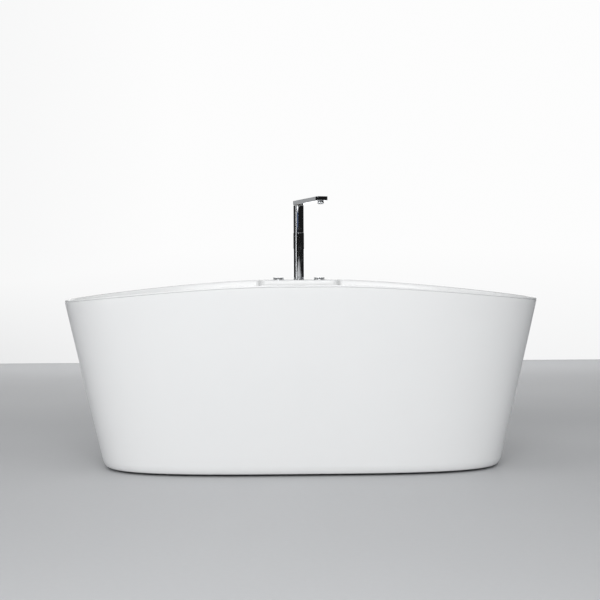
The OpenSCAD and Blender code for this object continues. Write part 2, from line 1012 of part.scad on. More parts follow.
valve_r = 13;
ring_h = 2.4;
knob_z = deck_z + ring_h + 0.5;
spindle_r = 4;
spindle_low = deck_z - 39;
index_y = -13;
index_r = 2;
module valve_rings() {
    color("silver")
        for (x = valve_x)
            translate([x, tap_y, deck_z])
                difference() {
                    soft_disc(knob_d / 2 + 1, ring_h, 0.8);
                    translate([0, 0, -over])
                        cylinder(r = valve_r + 0.2, h = 10);
                }
}

module knob() {
    flutes = 24;
    translate([0, 0, knob_z])
        difference() {
            soft_disc(knob_d / 2, knob_h, 1.5);
            translate([0, 0, -over])
                cylinder(r = spindle_r + 0.02, h = knob_h - 1);
            translate([0, index_y, knob_h - 0.8])
                cylinder(r = index_r + 0.02, h = 2);
            for (k = [0 : flutes - 1])
                rotate([0, 0, (k + 0.5) * 360 / flutes])
                    translate([knob_d / 2 + 0.7, 0, -over])
                        cylinder(r = 1.2, h = knob_h + 2 * over);
        }
}

module hot_knob() color("silver") at_hot() knob();
module cold_knob() color("silver") at_cold() knob();

module index_disc() translate([0, index_y, knob_z + knob_h - 0.8]) cylinder(r = index_r, h = 0.9);
module hot_index() color("red") at_hot() index_disc();
module cold_index() color("blue") at_cold() index_disc();

module spindle() {
    translate([0, 0, spindle_low])
        cylinder(r = spindle_r, h = knob_z + knob_h - 2.2 - spindle_low);
}
module hot_spindle() color("goldenrod") at_hot() spindle();
module cold_spindle() color("goldenrod") at_cold() spindle();

cartridge_r = 10;
cartridge_low = deck_z - 58;
valve_top = deck_z + ring_h - 0.4;
module cartridge() {
    translate([0, 0, cartridge_low])
        difference() {
            cylinder(r = cartridge_r, h = valve_top - cartridge_low);
            translate([0, 0, spindle_low - cartridge_low - 2])
                cylinder(r = spindle_r + running, h = 60);
        }
}
module hot_cartridge() color("gainsboro") at_hot() cartridge();
module cold_cartridge() color("gainsboro") at_cold() cartridge();

inlet_r = 10.48;
inlet_h = 25;
body_low = port_z - 13;
// Valve body; side points from the valve towards the column.
module valve(side) {
    difference() {
        union() {
            translate([0, 0, body_low])
                cylinder(r = valve_r, h = valve_top - body_low);
            translate([0, 0, body_low - inlet_h])
                cylinder(r = inlet_r, h = inlet_h + over);
            translate([0, 0, port_z])
                rotate([0, 90 * side, 0])
                    cylinder(r = 9, h = 25);
        }
        translate([0, 0, cartridge_low])
            cylinder(r = cartridge_r + 0.1, h = 100);
        translate([0, 0, body_low - inlet_h - over])
            cylinder(r = 6.5, h = 100);
        translate([0, 0, port_z])
            rotate([0, 90 * side, 0])
                cylinder(r = link_r - 1.5, h = 30);
        translate([side * 15, 0, port_z])
            rotate([0, 90 * side, 0])
                cylinder(r = link_r + 0.2, h = 30);
    }
}
module hot_valve() color("goldenrod") at_hot() valve(1);
module cold_valve() color("goldenrod") at_cold() valve(-1);

module valve_washers() {
    color("silver")
        for (x = valve_x)
            translate([x, tap_y, board_low - clamp_washer])
                tube(22, valve_r + 0.2, clamp_washer);
}

module valve_nuts() {
    color("goldenrod")
        for (x = valve_x)
            translate([x, tap_y, board_low - clamp_washer - clamp_nut])
                hex_nut(34, valve_r + 0.1, clamp_nut);
}

module link_tubes() {
    color("peru")
        at_tap()
            for (side = [0, 180])
                rotate([0, 0, side])
                    translate([18.5, 0, port_z])
                        rotate([0, 90, 0])
                            tube(link_r, link_r - 1.5, valve_pitch - 18.5 - 15.5);
}

// ---- Model --------------------------------------------------------------------------------------

basin();
skirt();
base_board();
deck_board();
frame_rails();
frame_cross_tubes();
skirt_brackets();
skirt_screws();
foot_studs();
foot_nuts();
foot_pads();
waste_body();
waste_gasket();
waste_washer();
waste_nut();
waste_guide();
waste_tee();
waste_outlet();
stopper_cap();
stopper_seal();
stopper_stem();
overflow_cover();
overflow_screw();
overflow_gasket();
overflow_elbow();
overflow_pipe();
overflow_bend();
branch_pipe();
column_gasket();
column_lower();
column_upper();
column_riser();
tap_manifold();
column_washer();
column_nut();
swivel_washer();
swivel_bush();
spout_arm();
swivel_seals();
aerator_ring();
aerator_insert();
valve_rings();
hot_knob();
cold_knob();
hot_index();
cold_index();
hot_spindle();
cold_spindle();
hot_cartridge();
cold_cartridge();
hot_valve();
cold_valve();
valve_washers();
valve_nuts();
link_tubes();
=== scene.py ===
"""Looks of a freestanding bathtub with a deck-mounted tap, a pop-up waste and an overflow.

Every length is in metres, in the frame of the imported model: X runs along the tub, Y from the open
side to the tap side, Z up, with the floor at zero.
"""

import json
import logging
import math
from collections.abc import Callable, Iterable, Sequence
from dataclasses import dataclass, field
from enum import Enum

import bmesh
import bpy
from mathutils import Matrix, Vector

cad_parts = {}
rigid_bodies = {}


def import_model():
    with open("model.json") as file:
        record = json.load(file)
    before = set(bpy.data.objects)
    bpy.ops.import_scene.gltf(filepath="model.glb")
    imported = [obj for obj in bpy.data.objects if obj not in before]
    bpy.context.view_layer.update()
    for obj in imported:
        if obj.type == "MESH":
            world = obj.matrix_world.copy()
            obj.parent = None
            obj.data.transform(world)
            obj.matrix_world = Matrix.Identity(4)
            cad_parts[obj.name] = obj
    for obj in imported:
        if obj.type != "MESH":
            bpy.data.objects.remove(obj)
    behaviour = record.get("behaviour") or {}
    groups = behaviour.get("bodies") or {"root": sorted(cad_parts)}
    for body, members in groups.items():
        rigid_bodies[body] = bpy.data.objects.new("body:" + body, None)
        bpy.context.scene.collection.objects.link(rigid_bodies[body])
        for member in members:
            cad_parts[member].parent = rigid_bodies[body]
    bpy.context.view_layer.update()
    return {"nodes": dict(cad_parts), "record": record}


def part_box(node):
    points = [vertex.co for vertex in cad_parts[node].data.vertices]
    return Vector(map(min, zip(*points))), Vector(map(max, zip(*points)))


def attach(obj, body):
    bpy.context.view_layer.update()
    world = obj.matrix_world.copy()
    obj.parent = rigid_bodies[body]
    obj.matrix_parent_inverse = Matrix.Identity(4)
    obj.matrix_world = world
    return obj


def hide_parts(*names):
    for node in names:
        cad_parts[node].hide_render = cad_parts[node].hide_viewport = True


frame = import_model()

log = logging.getLogger("bathtub")

Point = tuple[float, float]
Ring = list[Vector]
Colour = tuple[float, float, float]
Socket = bpy.types.NodeSocket
Inputs = bpy.types.NodeInputs
Outputs = bpy.types.NodeOutputs

# Points closer than this are one point, in a mesh that is made and in one that was cut.
SAME_POINT = 1e-7
SAME_CUT_POINT = 1e-6


class Body(Enum):
    """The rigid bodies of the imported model."""

    TUB = "tub"
    SPOUT = "spout"
    HOT = "hot_handle"
    COLD = "cold_handle"
    STOPPER = "stopper"


class Slot(Enum):
    """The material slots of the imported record."""

    BASIN = "basin_shell"
    SKIRT = "skirt_shell"
    BOARD = "board"
    FRAME = "frame_steel"
    ZINC = "zinc_steel"
    PAD = "pad_rubber"
    SEAL = "seal_rubber"
    TRIM = "chrome_trim"
    TAP = "chrome_tap"
    BRASS = "brass_fitting"
    COPPER = "copper_pipe"
    GREY = "grey_plastic"
    WHITE = "white_plastic"
    SLIP = "slip_plastic"
    RED = "red_plastic"
    BLUE = "blue_plastic"


# ---- Plain geometry -----------------------------------------------------------------------------


def blend(start: float, end: float, share: float) -> float:
    """Return the value at a share of the way from start to end."""
    return start + (end - start) * share


def curve(start: float, control: float, end: float, share: float) -> float:
    """Return a quadratic curve's value at a share of its length."""
    return blend(blend(start, control, share), blend(control, end, share), share)


def signed_power(value: float, exponent: float) -> float:
    """Raise a value's size to a power and keep its sign."""
    return math.copysign(abs(value) ** exponent, value)


def side_depth(x: float, half_l: float, half_w: float, power: float) -> float:
    """Return how far an outline lies from the long axis at a distance along it."""
    return half_w * max(0.0, 1 - (abs(x) / half_l) ** power) ** (1 / power)


def on_circle(radius: float, turn: float) -> Point:
    """Return the point of a circle at an angle in radians."""
    return radius * math.cos(turn), radius * math.sin(turn)


def axis_place(node: str) -> Matrix:
    """Return the upright axis through the middle of a node, at the floor."""
    low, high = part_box(node)
    return Matrix.Translation(((low.x + high.x) / 2, (low.y + high.y) / 2, 0))


def softened(points: Sequence[Point], radii: Sequence[float], steps: int = 4) -> list[Point]:
    """Round the corners of a closed profile.

    A rounded corner takes at most a set share of the sides beside it. It has an extra point close
    by on each side, so that the smooth shading of the corner doesn't spread over the flat faces.

    Args:
        points: The profile's corners, in order.
        radii: The radius at each corner, or zero to leave it sharp.
        steps: Segments in each rounded corner.

    Returns:
        The profile with its corners rounded.
    """
    most, near, nearest = 0.36, 0.3, 0.0003
    made: list[Point] = []
    count = len(points)
    for i, (corner, radius) in enumerate(zip(points, radii)):
        if radius <= 0:
            made.append(corner)
            continue
        here = Vector(corner)
        before = Vector(points[i - 1]) - here
        after = Vector(points[(i + 1) % count]) - here
        half_turn = before.angle(after) / 2
        reach = min(radius / math.tan(half_turn), most * before.length, most * after.length)
        start = here + before.normalized() * reach
        end = here + after.normalized() * reach
        hold = min(near * reach, nearest)
        made.append(tuple(start + before.normalized() * hold))
        for k in range(steps + 1):
            share = k / steps
            made.append(tuple(start.lerp(here, share).lerp(here.lerp(end, share), share)))
        made.append(tuple(end + after.normalized() * hold))
    return made


@dataclass
class Skin:
    """Vertices and faces of a mesh while it is being made."""

    points: list[Vector] = field(default_factory=list)
    faces: list[tuple[int, ...]] = field(default_factory=list)

    def loft(self, rings: Sequence[Ring]) -> "Skin":
        """Join rings of equal length into one closed skin, the last ring to the first.

        Args:
            rings: The rings in order, each a closed line of points.

        Returns:
            This skin, for chaining.
        """
        base, count, rows = len(self.points), len(rings[0]), len(rings)
        for ring in rings:
            self.points.extend(ring)
        for k in range(rows):
            inner, outer = base + k * count, base + (k + 1) % rows * count
            for i in range(count):
                j = (i + 1) % count
                self.faces.append((inner + i, inner + j, outer + j, outer + i))
        return self

    def turned(
        self,
        profile: Sequence[Point],
        sides: int = 96,
        place: Matrix | None = None,
        swell: Callable[[float, float], float] | None = None,
    ) -> "Skin":
        """Turn a profile about the local Z axis, as on a lathe.

        Args:
            profile: Closed line of (radius, height) corners; a radius of zero lies on the axis.
            sides: Segments round the axis.
            place: Where the turned form goes.
            swell: Extra radius at an angle and a height.

        Returns:
            This skin, for chaining.
        """
        place = place or Matrix.Identity(4)
        rows: list[list[int]] = []
        for radius, height in profile:
            if radius < SAME_POINT:
                rows.append([len(self.points)])
                self.points.append(place @ Vector((0, 0, height)))
                continue
            rows.append(list(range(len(self.points), len(self.points) + sides)))
            for i in range(sides):
                turn = 2 * math.pi * i / sides
                reach = radius + (swell(turn, height) if swell else 0.0)
                self.points.append(place @ Vector((*on_circle(reach, turn), height)))
        for k, low in enumerate(rows):
            high = rows[(k + 1) % len(rows)]
            if len(low) == 1 and len(high) == 1:
                continue
            for i in range(sides):
                j = (i + 1) % sides
                if len(low) == 1:
                    self.faces.append((low[0], high[j], high[i]))
                elif len(high) == 1:
                    self.faces.append((low[i], low[j], high[0]))
                else:
                    self.faces.append((low[i], low[j], high[j], high[i]))
        return self

    def slab(self, corner: Vector, size: Vector, edge: float, place: Matrix | None = None) -> "Skin":
        """Add a block with rounded edges.

        Args:
            corner: The block's lowest corner.
            size: Its length, width and height.
            edge: Radius of its edges.
            place: Where the block goes.

        Returns:
            This skin, for chaining.
        """
        place = place or Matrix.Identity(4)
        work = bmesh.new()
        bmesh.ops.create_cube(work, size=1.0)
        for vertex in work.verts:
            vertex.co = Vector(corner[i] + (vertex.co[i] + 0.5) * size[i] for i in range(3))
        bmesh.ops.bevel(
            work, geom=list(work.edges), offset=edge, segments=3, profile=0.5, affect="EDGES"
        )
        work.verts.index_update()
        base = len(self.points)
        self.points.extend(place @ vertex.co for vertex in work.verts)
        self.faces.extend(tuple(base + v.index for v in face.verts) for face in work.faces)
        work.free()
        return self

    def mesh(self, name: str) -> bpy.types.Mesh:
        """Make the mesh, with its normals pointing out.

        Args:
            name: The mesh's name.

        Returns:
            The new mesh.
        """
        made = bpy.data.meshes.new(name)
        made.from_pydata([tuple(p) for p in self.points], [], self.faces)
        work = bmesh.new()
        work.from_mesh(made)
        bmesh.ops.remove_doubles(work, verts=list(work.verts), dist=SAME_POINT)
        bmesh.ops.recalc_face_normals(work, faces=list(work.faces))
        work.to_mesh(made)
        work.free()
        return made


def smooth(mesh: bpy.types.Mesh, corner: float = 32.0) -> None:
    """Shade a mesh smoothly, but for edges sharper than an angle in degrees."""
    mesh.shade_smooth()
    mesh.set_sharp_from_angle(angle=math.radians(corner))


def add_piece(
    name: str,
    mesh: bpy.types.Mesh,
    finish: "Finish",
    body: Body,
    stands_for: Iterable[str] = (),
) -> bpy.types.Object:
    """Put a piece in the scene on its body, with its finish.

    Args:
        name: The piece's name.
        mesh: Its finished mesh, in the model's frame.
        finish: What it is made of.
        body: The body it moves with.
        stands_for: The model's nodes that it takes the place of.

    Returns:
        The new object.
    """
    smooth(mesh)
    piece = bpy.data.objects.new(name, mesh)
    bpy.context.scene.collection.objects.link(piece)
    mesh.materials.clear()
    mesh.materials.append(finish.material())
    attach(piece, body.value)
    nodes = list(stands_for)
    if nodes:
        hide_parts(*nodes)
    log.info("%s: %d faces, %s, on %s", name, len(mesh.polygons), finish.name, body.value)
    return piece


def cut_away(mesh: bpy.types.Mesh, cutters: Sequence[Skin]) -> bpy.types.Mesh:
    """Cut closed forms out of a mesh, and clear the slivers that the cuts leave.

    Args:
        mesh: The mesh to cut.
        cutters: The forms that are taken away.

    Returns:
        A new mesh without them.
    """
    scene = bpy.context.scene.collection.objects
    stock = bpy.data.objects.new("stock", mesh)
    scene.link(stock)
    tools = []
    for skin in cutters:
        tool = bpy.data.objects.new("tool", skin.mesh("tool"))
        scene.link(tool)
        tools.append(tool)
        cut = stock.modifiers.new("cut", "BOOLEAN")
        cut.operation, cut.solver, cut.object = "DIFFERENCE", "EXACT", tool
    bpy.context.view_layer.update()
    evaluated = stock.evaluated_get(bpy.context.evaluated_depsgraph_get())
    made = bpy.data.meshes.new_from_object(evaluated)
    for spent in (stock, *tools):
        bpy.data.objects.remove(spent)
    work = bmesh.new()
    work.from_mesh(made)
    bmesh.ops.remove_doubles(work, verts=list(work.verts), dist=SAME_CUT_POINT)
    bmesh.ops.dissolve_degenerate(work, edges=list(work.edges), dist=SAME_CUT_POINT)
    work.to_mesh(made)
    work.free()
    return made


# ---- Finishes -----------------------------------------------------------------------------------


class Graph:
    """A node tree under construction, with short calls for adding and joining its nodes."""

    def __init__(self, tree: bpy.types.NodeTree) -> None:
        """Keep the tree that the nodes go into."""
        self.tree = tree

    def node(self, kind: str, **inputs: object) -> bpy.types.Node:
        """Add a node.

        Args:
            kind: The node's type, without the ShaderNode prefix.
            inputs: Values or sockets for its inputs, by input name with underscores for spaces.

        Returns:
            The new node.
        """
        made = self.tree.nodes.new("ShaderNode" + kind)
        self.feed(made, **inputs)
        return made

    def plug(self, socket: Socket, value: object) -> None:
        """Join a socket to another one, or set its value.

        Args:
            socket: The input to feed.
            value: Another node's output, a number, or a colour with or without its alpha.
        """
        if isinstance(value, Socket):
            self.tree.links.new(value, socket)
        elif socket.type == "RGBA":
            socket.default_value = (*value[:3], 1.0)
        else:
            socket.default_value = value

    def feed(self, node: bpy.types.Node, **inputs: object) -> None:
        """Set or join a node's inputs, by input name with underscores for spaces."""
        for label, value in inputs.items():
            self.plug(node.inputs[label.replace("_", " ")], value)

    def math(self, operation: str, *values: object, clamp: bool = False) -> Socket:
        """Add a Math node.

        Args:
            operation: What the node does.
            values: Numbers or sockets, in the order of the node's inputs.
            clamp: Keep the result between zero and one.

        Returns:
            The node's output.
        """
        made = self.tree.nodes.new("ShaderNodeMath")
        made.operation, made.use_clamp = operation, clamp
        for socket, value in zip(made.inputs, values):
            self.plug(socket, value)
        return made.outputs[0]

    def ranged(
        self, value: Socket, low: object, high: object, to_low: object, to_high: object
    ) -> Socket:
        """Map a value from one range to another, clamped.

        Args:
            value: The value to map.
            low: Where its range starts.
            high: Where its range ends.
            to_low: What the start becomes.
            to_high: What the end becomes.

        Returns:
            The mapped value.
        """
        made = self.node("MapRange", Value=value, From_Min=low, From_Max=high)
        self.feed(made, To_Min=to_low, To_Max=to_high)
        return made.outputs["Result"]

    def mixed(self, share: object, first: object, second: object) -> Socket:
        """Mix two colours.

        Args:
            share: The second colour's share.
            first: The first colour, as a value or a socket.
            second: The second colour, as a value or a socket.

        Returns:
            The mixed colour.
        """
        made = self.tree.nodes.new("ShaderNodeMix")
        made.data_type = "RGBA"
        colours = [socket for socket in made.inputs if socket.type == "RGBA"]
        for socket, value in zip((made.inputs[0], *colours), (share, first, second)):
            self.plug(socket, value)
        return next(socket for socket in made.outputs if socket.type == "RGBA")

    def vector(self, operation: str, where: Socket, label: object, value: object) -> Socket:
        """Add a Vector Math node on a vector.

        Args:
            operation: What the node does.
            where: The vector.
            label: The name or number of the node's other input.
            value: A value or a socket for that input.

        Returns:
            The new vector.
        """
        made = self.tree.nodes.new("ShaderNodeVectorMath")
        made.operation = operation
        self.plug(made.inputs[0], where)
        self.plug(made.inputs[label], value)
        return made.outputs[0]

    def place(self, scale: object, stretch: tuple[float, float, float] = (1, 1, 1)) -> Socket:
        """Return the object's own coordinates, scaled and then stretched."""
        sized = self.vector("SCALE", self.node("TexCoord").outputs["Object"], "Scale", scale)
        return self.vector("MULTIPLY", sized, 1, stretch)

    def noise(self, where: Socket, detail: float, **inputs: object) -> Socket:
        """Add a Noise texture and return its height."""
        made = self.node("TexNoise", Vector=where, Scale=1.0, Detail=detail, **inputs)
        return made.outputs[0]

    def facing_up(self) -> Socket:
        """Return how far the surface faces up, from minus one to one."""
        normal = self.node("NewGeometry").outputs["Normal"]
        return self.node("SeparateXYZ", Vector=normal).outputs["Z"]


class Effect:
    """A surface effect shared by several finishes: one node group with named inputs and outputs."""

    name: str = "effect"
    inputs: tuple[tuple[str, str, object], ...] = ()
    outputs: tuple[tuple[str, str], ...] = ()

    def tree(self) -> bpy.types.NodeTree:
        """Return the effect's node group, building it the first time."""
        found = bpy.data.node_groups.get(self.name)
        if found:
            return found
        made = bpy.data.node_groups.new(self.name, "ShaderNodeTree")
        for label, kind, value in self.inputs:
            socket = made.interface.new_socket(label, in_out="INPUT", socket_type="NodeSocket" + kind)
            socket.default_value = value
        for label, kind in self.outputs:
            made.interface.new_socket(label, in_out="OUTPUT", socket_type="NodeSocket" + kind)
        source = made.nodes.new("NodeGroupInput")
        target = made.nodes.new("NodeGroupOutput")
        self.draw(Graph(made), source.outputs, target.inputs)
        return made

    def draw(self, graph: Graph, given: Outputs, wanted: Inputs) -> None:
        """Draw the effect's nodes between its inputs and outputs.

        Args:
            graph: The group's tree.
            given: The group's input values.
            wanted: The sockets that leave the group.
        """
        raise NotImplementedError

    def use(self, graph: Graph, **inputs: object) -> Outputs:
        """Place the effect in a material.

        Args:
            graph: The material's tree.
            inputs: Values or sockets for the effect's inputs.

        Returns:
            The effect's outputs.
        """
        node = graph.tree.nodes.new("ShaderNodeGroup")
        node.node_tree = self.tree()
        graph.feed(node, **inputs)
        return node.outputs


class Ripple(Effect):
    """The slow unevenness of a moulded or polished skin, with a finer peel over it."""

    name = "skin_ripple"
    inputs = (("Slow", "Float", 6.0), ("Fine", "Float", 160.0), ("Share", "Float", 0.3))
    outputs = (("Height", "Float"), ("Tone", "Float"))

    def draw(self, graph: Graph, given: Outputs, wanted: Inputs) -> None:
        """Mix a slow and a fine noise.

        Args:
            graph: The group's tree.
            given: The group's input values.
            wanted: The sockets that leave the group.
        """
        slow = graph.noise(graph.place(given["Slow"]), 2.0)
        fine = graph.noise(graph.place(given["Fine"]), 1.0)
        kept = graph.math("SUBTRACT", 1.0, given["Share"])
        slow_part = graph.math("MULTIPLY", slow, kept)
        fine_part = graph.math("MULTIPLY", fine, given["Share"])
        graph.plug(wanted["Height"], graph.math("ADD", slow_part, fine_part))
        graph.plug(wanted["Tone"], slow)


class Handling(Effect):
    """Dull smears and dried water spots that a wiped or handled gloss surface keeps."""

    name = "handling_marks"
    inputs = (
        ("Scale", "Float", 18.0),
        ("Gloss", "Float", 0.08),
        ("Dull", "Float", 0.2),
        ("Spots", "Float", 0.4),
    )
    outputs = (("Roughness", "Float"),)

    def draw(self, graph: Graph, given: Outputs, wanted: Inputs) -> None:
        """Lay drifting smears and a scatter of small round spots over the gloss.

        Args:
            graph: The group's tree.
            given: The group's input values.
            wanted: The sockets that leave the group.
        """
        smear = graph.noise(graph.place(given["Scale"], (1, 1, 0.35)), 5.0)
        smears = graph.ranged(smear, 0.5, 0.72, 0.0, 1.0)
        fine = graph.math("MULTIPLY", given["Scale"], 14.0)
        cells = graph.node("TexVoronoi", Vector=graph.place(fine), Scale=1.0)
        ring = graph.ranged(cells.outputs["Distance"], 0.12, 0.2, 1.0, 0.0)
        spots = graph.math("MULTIPLY", graph.math("MULTIPLY", ring, smears), given["Spots"])
        mask = graph.math("MAXIMUM", graph.math("MULTIPLY", smears, 0.7), spots, clamp=True)
        rough = graph.ranged(mask, 0.0, 1.0, given["Gloss"], given["Dull"])
        graph.plug(wanted["Roughness"], rough)


class Settled(Effect):
    """Fine dust that settles on whatever faces up, thicker in drifts."""

    name = "settled_dust"
    inputs = (
        ("Colour", "Color", (0.8, 0.8, 0.8, 1.0)),
        ("Dust", "Color", (0.6, 0.59, 0.57, 1.0)),
        ("Amount", "Float", 0.1),
        ("Scale", "Float", 30.0),
    )
    outputs = (("Colour", "Color"), ("Mask", "Float"))

    def draw(self, graph: Graph, given: Outputs, wanted: Inputs) -> None:
        """Mask the dust by the surface's slope and a drifting noise.

        Args:
            graph: The group's tree.
            given: The group's input values.
            wanted: The sockets that leave the group.
        """
        level = graph.ranged(graph.facing_up(), 0.3, 1.0, 0.0, 1.0)
        drifts = graph.ranged(graph.noise(graph.place(given["Scale"]), 6.0), 0.35, 0.75, 0.2, 1.0)
        lying = graph.math("MULTIPLY", level, drifts)
        mask = graph.math("MULTIPLY", lying, given["Amount"], clamp=True)
        graph.plug(wanted["Mask"], mask)
        graph.plug(wanted["Colour"], graph.mixed(mask, given["Colour"], given["Dust"]))


class Streaks(Effect):
    """Fine parallel lines left by a brush, a die or a cutting tool."""

    name = "tool_streaks"
    inputs = (
        ("Along X", "Float", 20.0),
        ("Along Y", "Float", 20.0),
        ("Along Z", "Float", 2500.0),
        ("Depth", "Float", 1.0),
    )
    outputs = (("Height", "Float"), ("Tone", "Float"))

    def draw(self, graph: Graph, given: Outputs, wanted: Inputs) -> None:
        """Stretch a noise by its own scale along each axis.

        Args:
            graph: The group's tree.
            given: The group's input values.
            wanted: The sockets that leave the group.
        """
        where = graph.node("TexCoord").outputs["Object"]
        rates = graph.node("CombineXYZ", X=given["Along X"], Y=given["Along Y"], Z=given["Along Z"])
        lines = graph.noise(graph.vector("MULTIPLY", where, 1, rates.outputs[0]), 3.0)
        tone = graph.ranged(lines, 0.3, 0.7, 0.0, 1.0)
        graph.plug(wanted["Height"], graph.math("MULTIPLY", tone, given["Depth"]))
        graph.plug(wanted["Tone"], tone)


class Grain(Effect):
    """The even grain of a spark-eroded mould, a powder coat or a rubber face."""

    name = "fine_grain"
    inputs = (("Scale", "Float", 900.0), ("Patch", "Float", 25.0))
    outputs = (("Height", "Float"), ("Tone", "Float"))

    def draw(self, graph: Graph, given: Outputs, wanted: Inputs) -> None:
        """Round cells of one size for the height, and slow patches for the tone.

        Args:
            graph: The group's tree.
            given: The group's input values.
            wanted: The sockets that leave the group.
        """
        cells = graph.node("TexVoronoi", Vector=graph.place(given["Scale"]), Scale=1.0)
        patch = graph.noise(graph.place(given["Patch"]), 4.0)
        graph.plug(wanted["Height"], cells.outputs["Distance"])
        graph.plug(wanted["Tone"], graph.ranged(patch, 0.3, 0.7, 0.0, 1.0))


@dataclass(frozen=True)
class Finish:
    """What a piece is made of. Each kind of finish draws its own material."""

    name: str

    def material(self) -> bpy.types.Material:
        """Return the finish's material, building it the first time."""
        found = bpy.data.materials.get(self.name)
        if found:
            return found
        made = bpy.data.materials.new(self.name)
        made.use_nodes = True
        made.node_tree.nodes.clear()
        graph = Graph(made.node_tree)
        shader = graph.node("BsdfPrincipled")
        graph.node("OutputMaterial", Surface=shader.outputs[0])
        self.draw(graph, shader)
        return made

    def draw(self, graph: Graph, shader: bpy.types.Node) -> None:
        """Feed the shader with the finish's colour, roughness and relief.

        Args:
            graph: The material's tree.
            shader: The shader that it feeds.
        """
        raise NotImplementedError

    @staticmethod
    def relief(graph: Graph, shader: bpy.types.Node, height: object, depth: float) -> None:
        """Raise the surface by a height.

        Args:
            graph: The material's tree.
            shader: The material's shader.
            height: The height's socket.
            depth: The relief's depth in metres at full height.
        """
        bump = graph.node("Bump", Height=height, Distance=depth, Strength=1.0)
        graph.feed(shader, Normal=bump.outputs[0])


@dataclass(frozen=True)
class CastAcrylic(Finish):
    """Thermoformed white acrylic sheet: deep gloss over a faint orange peel."""

    colour: Colour = (0.86, 0.862, 0.86)
    shade: Colour = (0.845, 0.85, 0.85)
    gloss: float = 0.2
    dull: float = 0.25
    peel: float = 0.000006
    dust: float = 0.04

    def draw(self, graph: Graph, shader: bpy.types.Node) -> None:
        """Cloud the white slightly and let the gloss vary.

        Args:
            graph: The material's tree.
            shader: The shader that it feeds.
        """
        skin = Ripple().use(graph, Slow=5.0, Fine=240.0, Share=0.25)
        rough = graph.ranged(skin["Tone"], 0.3, 0.7, self.gloss, self.dull)
        white = graph.mixed(skin["Tone"], self.colour, self.shade)
        dusty = Settled().use(
            graph, Colour=white, Dust=(0.74, 0.735, 0.72, 1.0), Amount=self.dust, Scale=40.0
        )
        graph.feed(shader, Base_Color=dusty["Colour"], Roughness=rough, IOR=1.49)
        self.relief(graph, shader, skin["Height"], self.peel)


@dataclass(frozen=True)
class Chrome(Finish):
    """Bright chrome plating with a few wiped smears and water spots."""

    colour: Colour = (0.78, 0.79, 0.8)
    tint: Colour = (0.7, 0.725, 0.76)
    gloss: float = 0.035
    dull: float = 0.13

    def draw(self, graph: Graph, shader: bpy.types.Node) -> None:
        """Tint the plating slowly and dull it where it was touched.

        Args:
            graph: The material's tree.
            shader: The shader that it feeds.
        """
        skin = Ripple().use(graph, Slow=28.0, Fine=420.0, Share=0.12)
        marks = Handling().use(graph, Scale=55.0, Gloss=self.gloss, Dull=self.dull, Spots=0.8)
        plate = graph.mixed(skin["Tone"], self.colour, self.tint)
        dusty = Settled().use(
            graph, Colour=plate, Dust=(0.5, 0.49, 0.47, 1.0), Amount=0.06, Scale=160.0
        )
        graph.feed(shader, Base_Color=dusty["Colour"], Metallic=1.0, Roughness=marks["Roughness"])
        self.relief(graph, shader, skin["Height"], 0.000006)


@dataclass(frozen=True)
class DrawnMetal(Finish):
    """Unplated brass, copper or zinc-plated steel, with the marks of the tool that made it."""

    bright: Colour = (0.72, 0.53, 0.24)
    dark: Colour = (0.42, 0.28, 0.12)
    along: Colour = (30.0, 30.0, 2600.0)
    gloss: float = 0.24
    dull: float = 0.48
    depth: float = 0.00002
    tarnish: float = 60.0

    def draw(self, graph: Graph, shader: bpy.types.Node) -> None:
        """Cross the tool's lines with cloudy tarnish.

        Args:
            graph: The material's tree.
            shader: The shader that it feeds.
        """
        x_rate, y_rate, z_rate = self.along
        lines = Streaks().use(graph, Along_X=x_rate, Along_Y=y_rate, Along_Z=z_rate, Depth=1.0)
        cloud = graph.noise(graph.place(self.tarnish), 6.0, Distortion=0.6)
        patches = graph.ranged(cloud, 0.42, 0.7, 0.0, 0.75)
        toned = graph.math("ADD", patches, graph.math("MULTIPLY", lines["Tone"], 0.18), clamp=True)
        metal = graph.mixed(toned, self.bright, self.dark)
        dusty = Settled().use(graph, Colour=metal, Amount=0.18, Scale=120.0)
        rough = graph.ranged(toned, 0.0, 1.0, self.gloss, self.dull)
        graph.feed(shader, Base_Color=dusty["Colour"], Roughness=rough)
        graph.feed(shader, Metallic=graph.math("SUBTRACT", 1.0, dusty["Mask"]))
        self.relief(graph, shader, lines["Height"], self.depth)


@dataclass(frozen=True)
class Zinc(Finish):
    """Zinc plate with its patchwork of crystals."""

    bright: Colour = (0.66, 0.67, 0.69)
    dark: Colour = (0.46, 0.47, 0.5)
    crystal: float = 260.0

    def draw(self, graph: Graph, shader: bpy.types.Node) -> None:
        """Give each crystal its own tone and sheen.

        Args:
            graph: The material's tree.
            shader: The shader that it feeds.
        """
        cells = graph.node("TexVoronoi", Vector=graph.place(self.crystal), Scale=1.0)
        tone = graph.node("SeparateColor", Color=cells.outputs["Color"]).outputs[0]
        grain = Grain().use(graph, Scale=2200.0, Patch=45.0)
        mixed = graph.math("MULTIPLY", graph.math("ADD", tone, grain["Tone"]), 0.5)
        plate = graph.mixed(mixed, self.bright, self.dark)
        dusty = Settled().use(graph, Colour=plate, Amount=0.2, Scale=90.0)
        rough = graph.ranged(mixed, 0.0, 1.0, 0.3, 0.5)
        graph.feed(shader, Base_Color=dusty["Colour"], Metallic=0.95, Roughness=rough)
        self.relief(graph, shader, grain["Height"], 0.00003)


